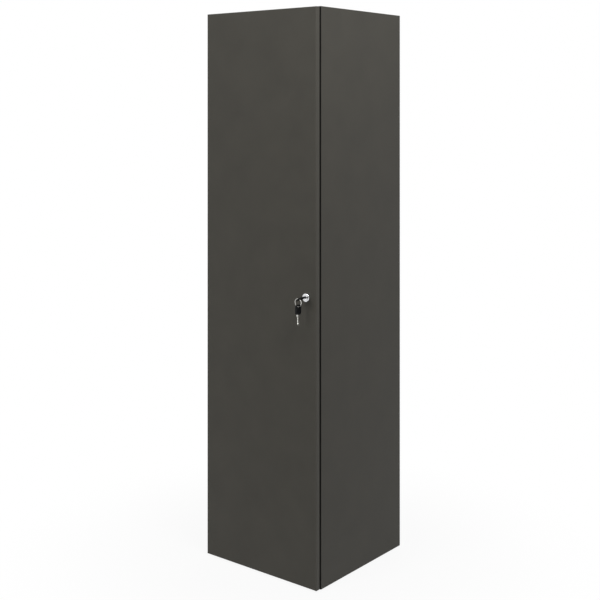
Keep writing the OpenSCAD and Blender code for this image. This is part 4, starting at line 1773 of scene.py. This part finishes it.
@dataclass
class Glides(SubAssembly):
    """Four levelling glides in ribbed sleeves."""

    stem: float = 5.0 * MM
    root: float = 4.4 * MM
    thread_pitch: float = 1.5 * MM
    socket: float = 2.9 * MM
    socket_depth: float = 5.0 * MM
    foot_edge: float = 0.9 * MM
    foot_gap: float = 0.3 * MM
    foot_ribs: float = 36.0
    sleeve_bore: float = 5.08 * MM
    sleeve_ease: float = 0.4 * MM
    sleeve_ribs: float = 18.0

    def build(self) -> None:
        """Makes the glides and their sleeves."""
        for corner in ("front_left", "front_right", "back_left", "back_right"):
            node = "glide_" + corner
            fitted(self.glide("levelling_" + corner, node), node, "glide", node)
        self.row("press_sleeves", "glide_sleeves", self.sleeve(), self.finishes.steel,
                 Toward.UP, -1.0)

    def glide(self, name: str, node: str) -> Piece:
        """Returns one foot with its threaded stem and hexagon socket.

        Args:
            name: The piece's name.
            node: The CAD glide.

        Returns:
            The glide.
        """
        low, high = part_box(node)
        radius, top = (high.x - low.x) / 2.0, high.z - low.z
        plate_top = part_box("bottom_board")[0].z - low.z - self.foot_gap
        edge, stem, root, ease = self.foot_edge, self.stem, self.root, self.stem - self.root

        def gripped(angle: float) -> float:
            """Returns the ribbed rim's radius at an angle."""
            return radius - 0.2 * MM * (1.0 - math.cos(self.foot_ribs * angle))

        rim = [(radius - edge - 0.4 * MM, 0.0), (radius - 0.6 * MM, edge / 2.0), (gripped, edge)]
        levels = [(0.0, 0.0), *rim, *((reach, plate_top - rise) for reach, rise in rim[::-1]),
                  (stem, plate_top)]
        start = plate_top + 1.0 * MM
        turns = math.ceil((top - start) / self.thread_pitch - 1.5)
        levels += thread(start, self.thread_pitch, turns, [
            (stem, 0.0), (stem, 0.3 * MM), (root, 0.8 * MM), (root, 1.0 * MM)])
        levels += [(stem, start + turns * self.thread_pitch), (stem, top - ease), (root, top),
                   (0.0, top)]
        hole = plate("hole", [circle(self.socket, 6)], top - self.socket_depth, top + 3.0 * MM,
                     0.05 * MM)
        foot = carved(turned(name, levels, 144), hole)
        centre = middle((low, high))
        foot = moved(foot, Matrix.Translation((centre.x, centre.y, low.z)))
        return painted(smoothed(foot, 30.0), self.finishes.glide)

    def sleeve(self) -> Piece:
        """Returns a press-in sleeve with a ribbed wall and a collar."""
        width, _, length = first_size("glide_sleeves")
        radius, bore, ease = width / 2.0, self.sleeve_bore, self.sleeve_ease

        def ribbed(angle: float) -> float:
            """Returns the ribbed wall's radius at an angle."""
            return radius - 0.25 * MM * (1.0 + math.cos(self.sleeve_ribs * angle))

        return turned("sleeve", [
            (bore + ease, 0.0), (radius, 0.0), (radius, 1.2 * MM), (ribbed, 1.6 * MM),
            (ribbed, length - 1.0 * MM), (radius - 1.2 * MM, length), (bore + ease, length),
            (bore, length - ease), (bore, ease)], 72, closed=True)


@dataclass(frozen=True)
class Softbox:
    """A square lamp: where it hangs, the point that it faces, its side and its power."""

    name: str
    place: Point
    target: Point
    side: float
    watts: float

    def hang(self) -> None:
        """Adds the lamp to the scene."""
        light = bpy.data.lights.new(self.name, "AREA")
        light.size = self.side
        light.energy = self.watts
        lamp = linked(self.name, light)
        lamp.location = self.place
        aim = Vector(self.target) - Vector(self.place)
        lamp.rotation_euler = aim.to_track_quat("-Z", "Y").to_euler()


SOFTBOXES = (
    Softbox("front_softbox", (-0.8, -5.0, 4.3), (0.0, -0.2, 0.9), 1.9, 124.0),
    Softbox("side_softbox", (1.6, -0.75, 3.3), (0.25, -0.15, 1.7), 1.0, 50.0),
    Softbox("rear_softbox", (-1.4, 2.9, 3.0), (0.0, 0.2, 1.0), 2.2, 34.0))


@dataclass
class Studio:
    """The camera, pale floor, white surround and soft lamps."""

    image_px: float = 600.0
    sensor_mm: float = 36.0
    focal_px: float = 1084.67
    horizon_px: float = 111.32
    yaw: float = 38.71
    stand: Point = (2.4547, -2.8392, 1.5992)
    surround: float = 0.20
    floor_half: float = 14.0
    floor_tone: Colour = (0.72, 0.72, 0.72)
    floor_lift: float = 0.92
    floor_fade: Pair = (0.25, 1.2)

    def build(self) -> None:
        """Sets the scene."""
        bpy.context.scene.view_settings.view_transform = "Standard"
        self.camera()
        self.world()
        self.floor()
        for lamp in SOFTBOXES:
            lamp.hang()

    def camera(self) -> None:
        """Places the level camera with its vertical shift."""
        lens = bpy.data.cameras.new("view")
        lens.sensor_width = self.sensor_mm
        lens.lens = self.focal_px * self.sensor_mm / self.image_px
        lens.shift_y = (self.horizon_px - self.image_px / 2.0) / self.image_px
        camera = linked("view", lens)
        camera.location = Vector(self.stand) + Vector((0.0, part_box("door_board")[0].y, 0.0))
        camera.rotation_euler = (math.radians(90.0), 0.0, math.radians(self.yaw))
        bpy.context.scene.camera = camera

    def seen(self, writer: TreeWriter) -> Sock:
        """Returns 1 for rays that show the surround: camera, glossy and transmission."""
        camera, glossy, through = (
            writer.add("ShaderNodeLightPath", output=name)
            for name in ("Is Camera Ray", "Is Glossy Ray", "Is Transmission Ray"))
        return writer.maths("MAXIMUM", writer.maths("MAXIMUM", camera, glossy), through)

    def world(self) -> None:
        """Makes a surround that shows white and lights softly."""
        world = bpy.data.worlds.new("surround")
        world.use_nodes = True
        bpy.context.scene.world = world
        writer = TreeWriter(world.node_tree)
        world.node_tree.nodes.clear()
        strength = self.surround + self.seen(writer) * (1.0 - self.surround)
        writer.end("ShaderNodeOutputWorld", writer.add("ShaderNodeBackground", {}, {
            "Color": WHITE, "Strength": strength}))

    def floor(self) -> None:
        """Makes the floor, which shows white and keeps the soft shadow."""
        shape = bmesh.new()
        bmesh.ops.create_grid(shape, x_segments=1, y_segments=1, size=self.floor_half)
        floor = from_bmesh("floor", shape)
        writer = ShaderWriter("floor_white")
        writer.set(Base_Color=self.floor_tone, Roughness=0.9, Specular_IOR_Level=0.1)
        white = writer.add("ShaderNodeEmission", {}, {"Color": WHITE, "Strength": 1.0})
        away = writer.add("ShaderNodeVectorMath", {"operation": "LENGTH"}, {0: writer.where},
                          "Value")
        near, far = self.floor_fade
        fade = writer.add("ShaderNodeMapRange", {"interpolation_type": "SMOOTHSTEP"}, {
            "Value": away, "From Min": near, "From Max": far,
            "To Min": self.floor_lift, "To Max": 1.0})
        writer.feed(writer.output.inputs[0], writer.add("ShaderNodeMixShader", {}, {
            0: self.seen(writer) * fade, 1: Sock(writer, writer.shader.outputs[0]), 2: white}))
        painted(floor, writer.material)


def main() -> None:
    """Builds the locker's pieces in order."""
    logging.basicConfig(level=logging.INFO, format="%(name)s: %(message)s")
    Studio().build()
    finishes = Finishes()
    repeats = Repeats()
    for part in (Carcass, DoorLeaf, CupHinges, CamLock, KeySet, Interior, Joinery, Glides):
        LOG.info("sub-assembly %s", part.__name__)
        part(finishes, repeats).build()
    removed(repeats.head)


if __name__ == "__main__":
    main()
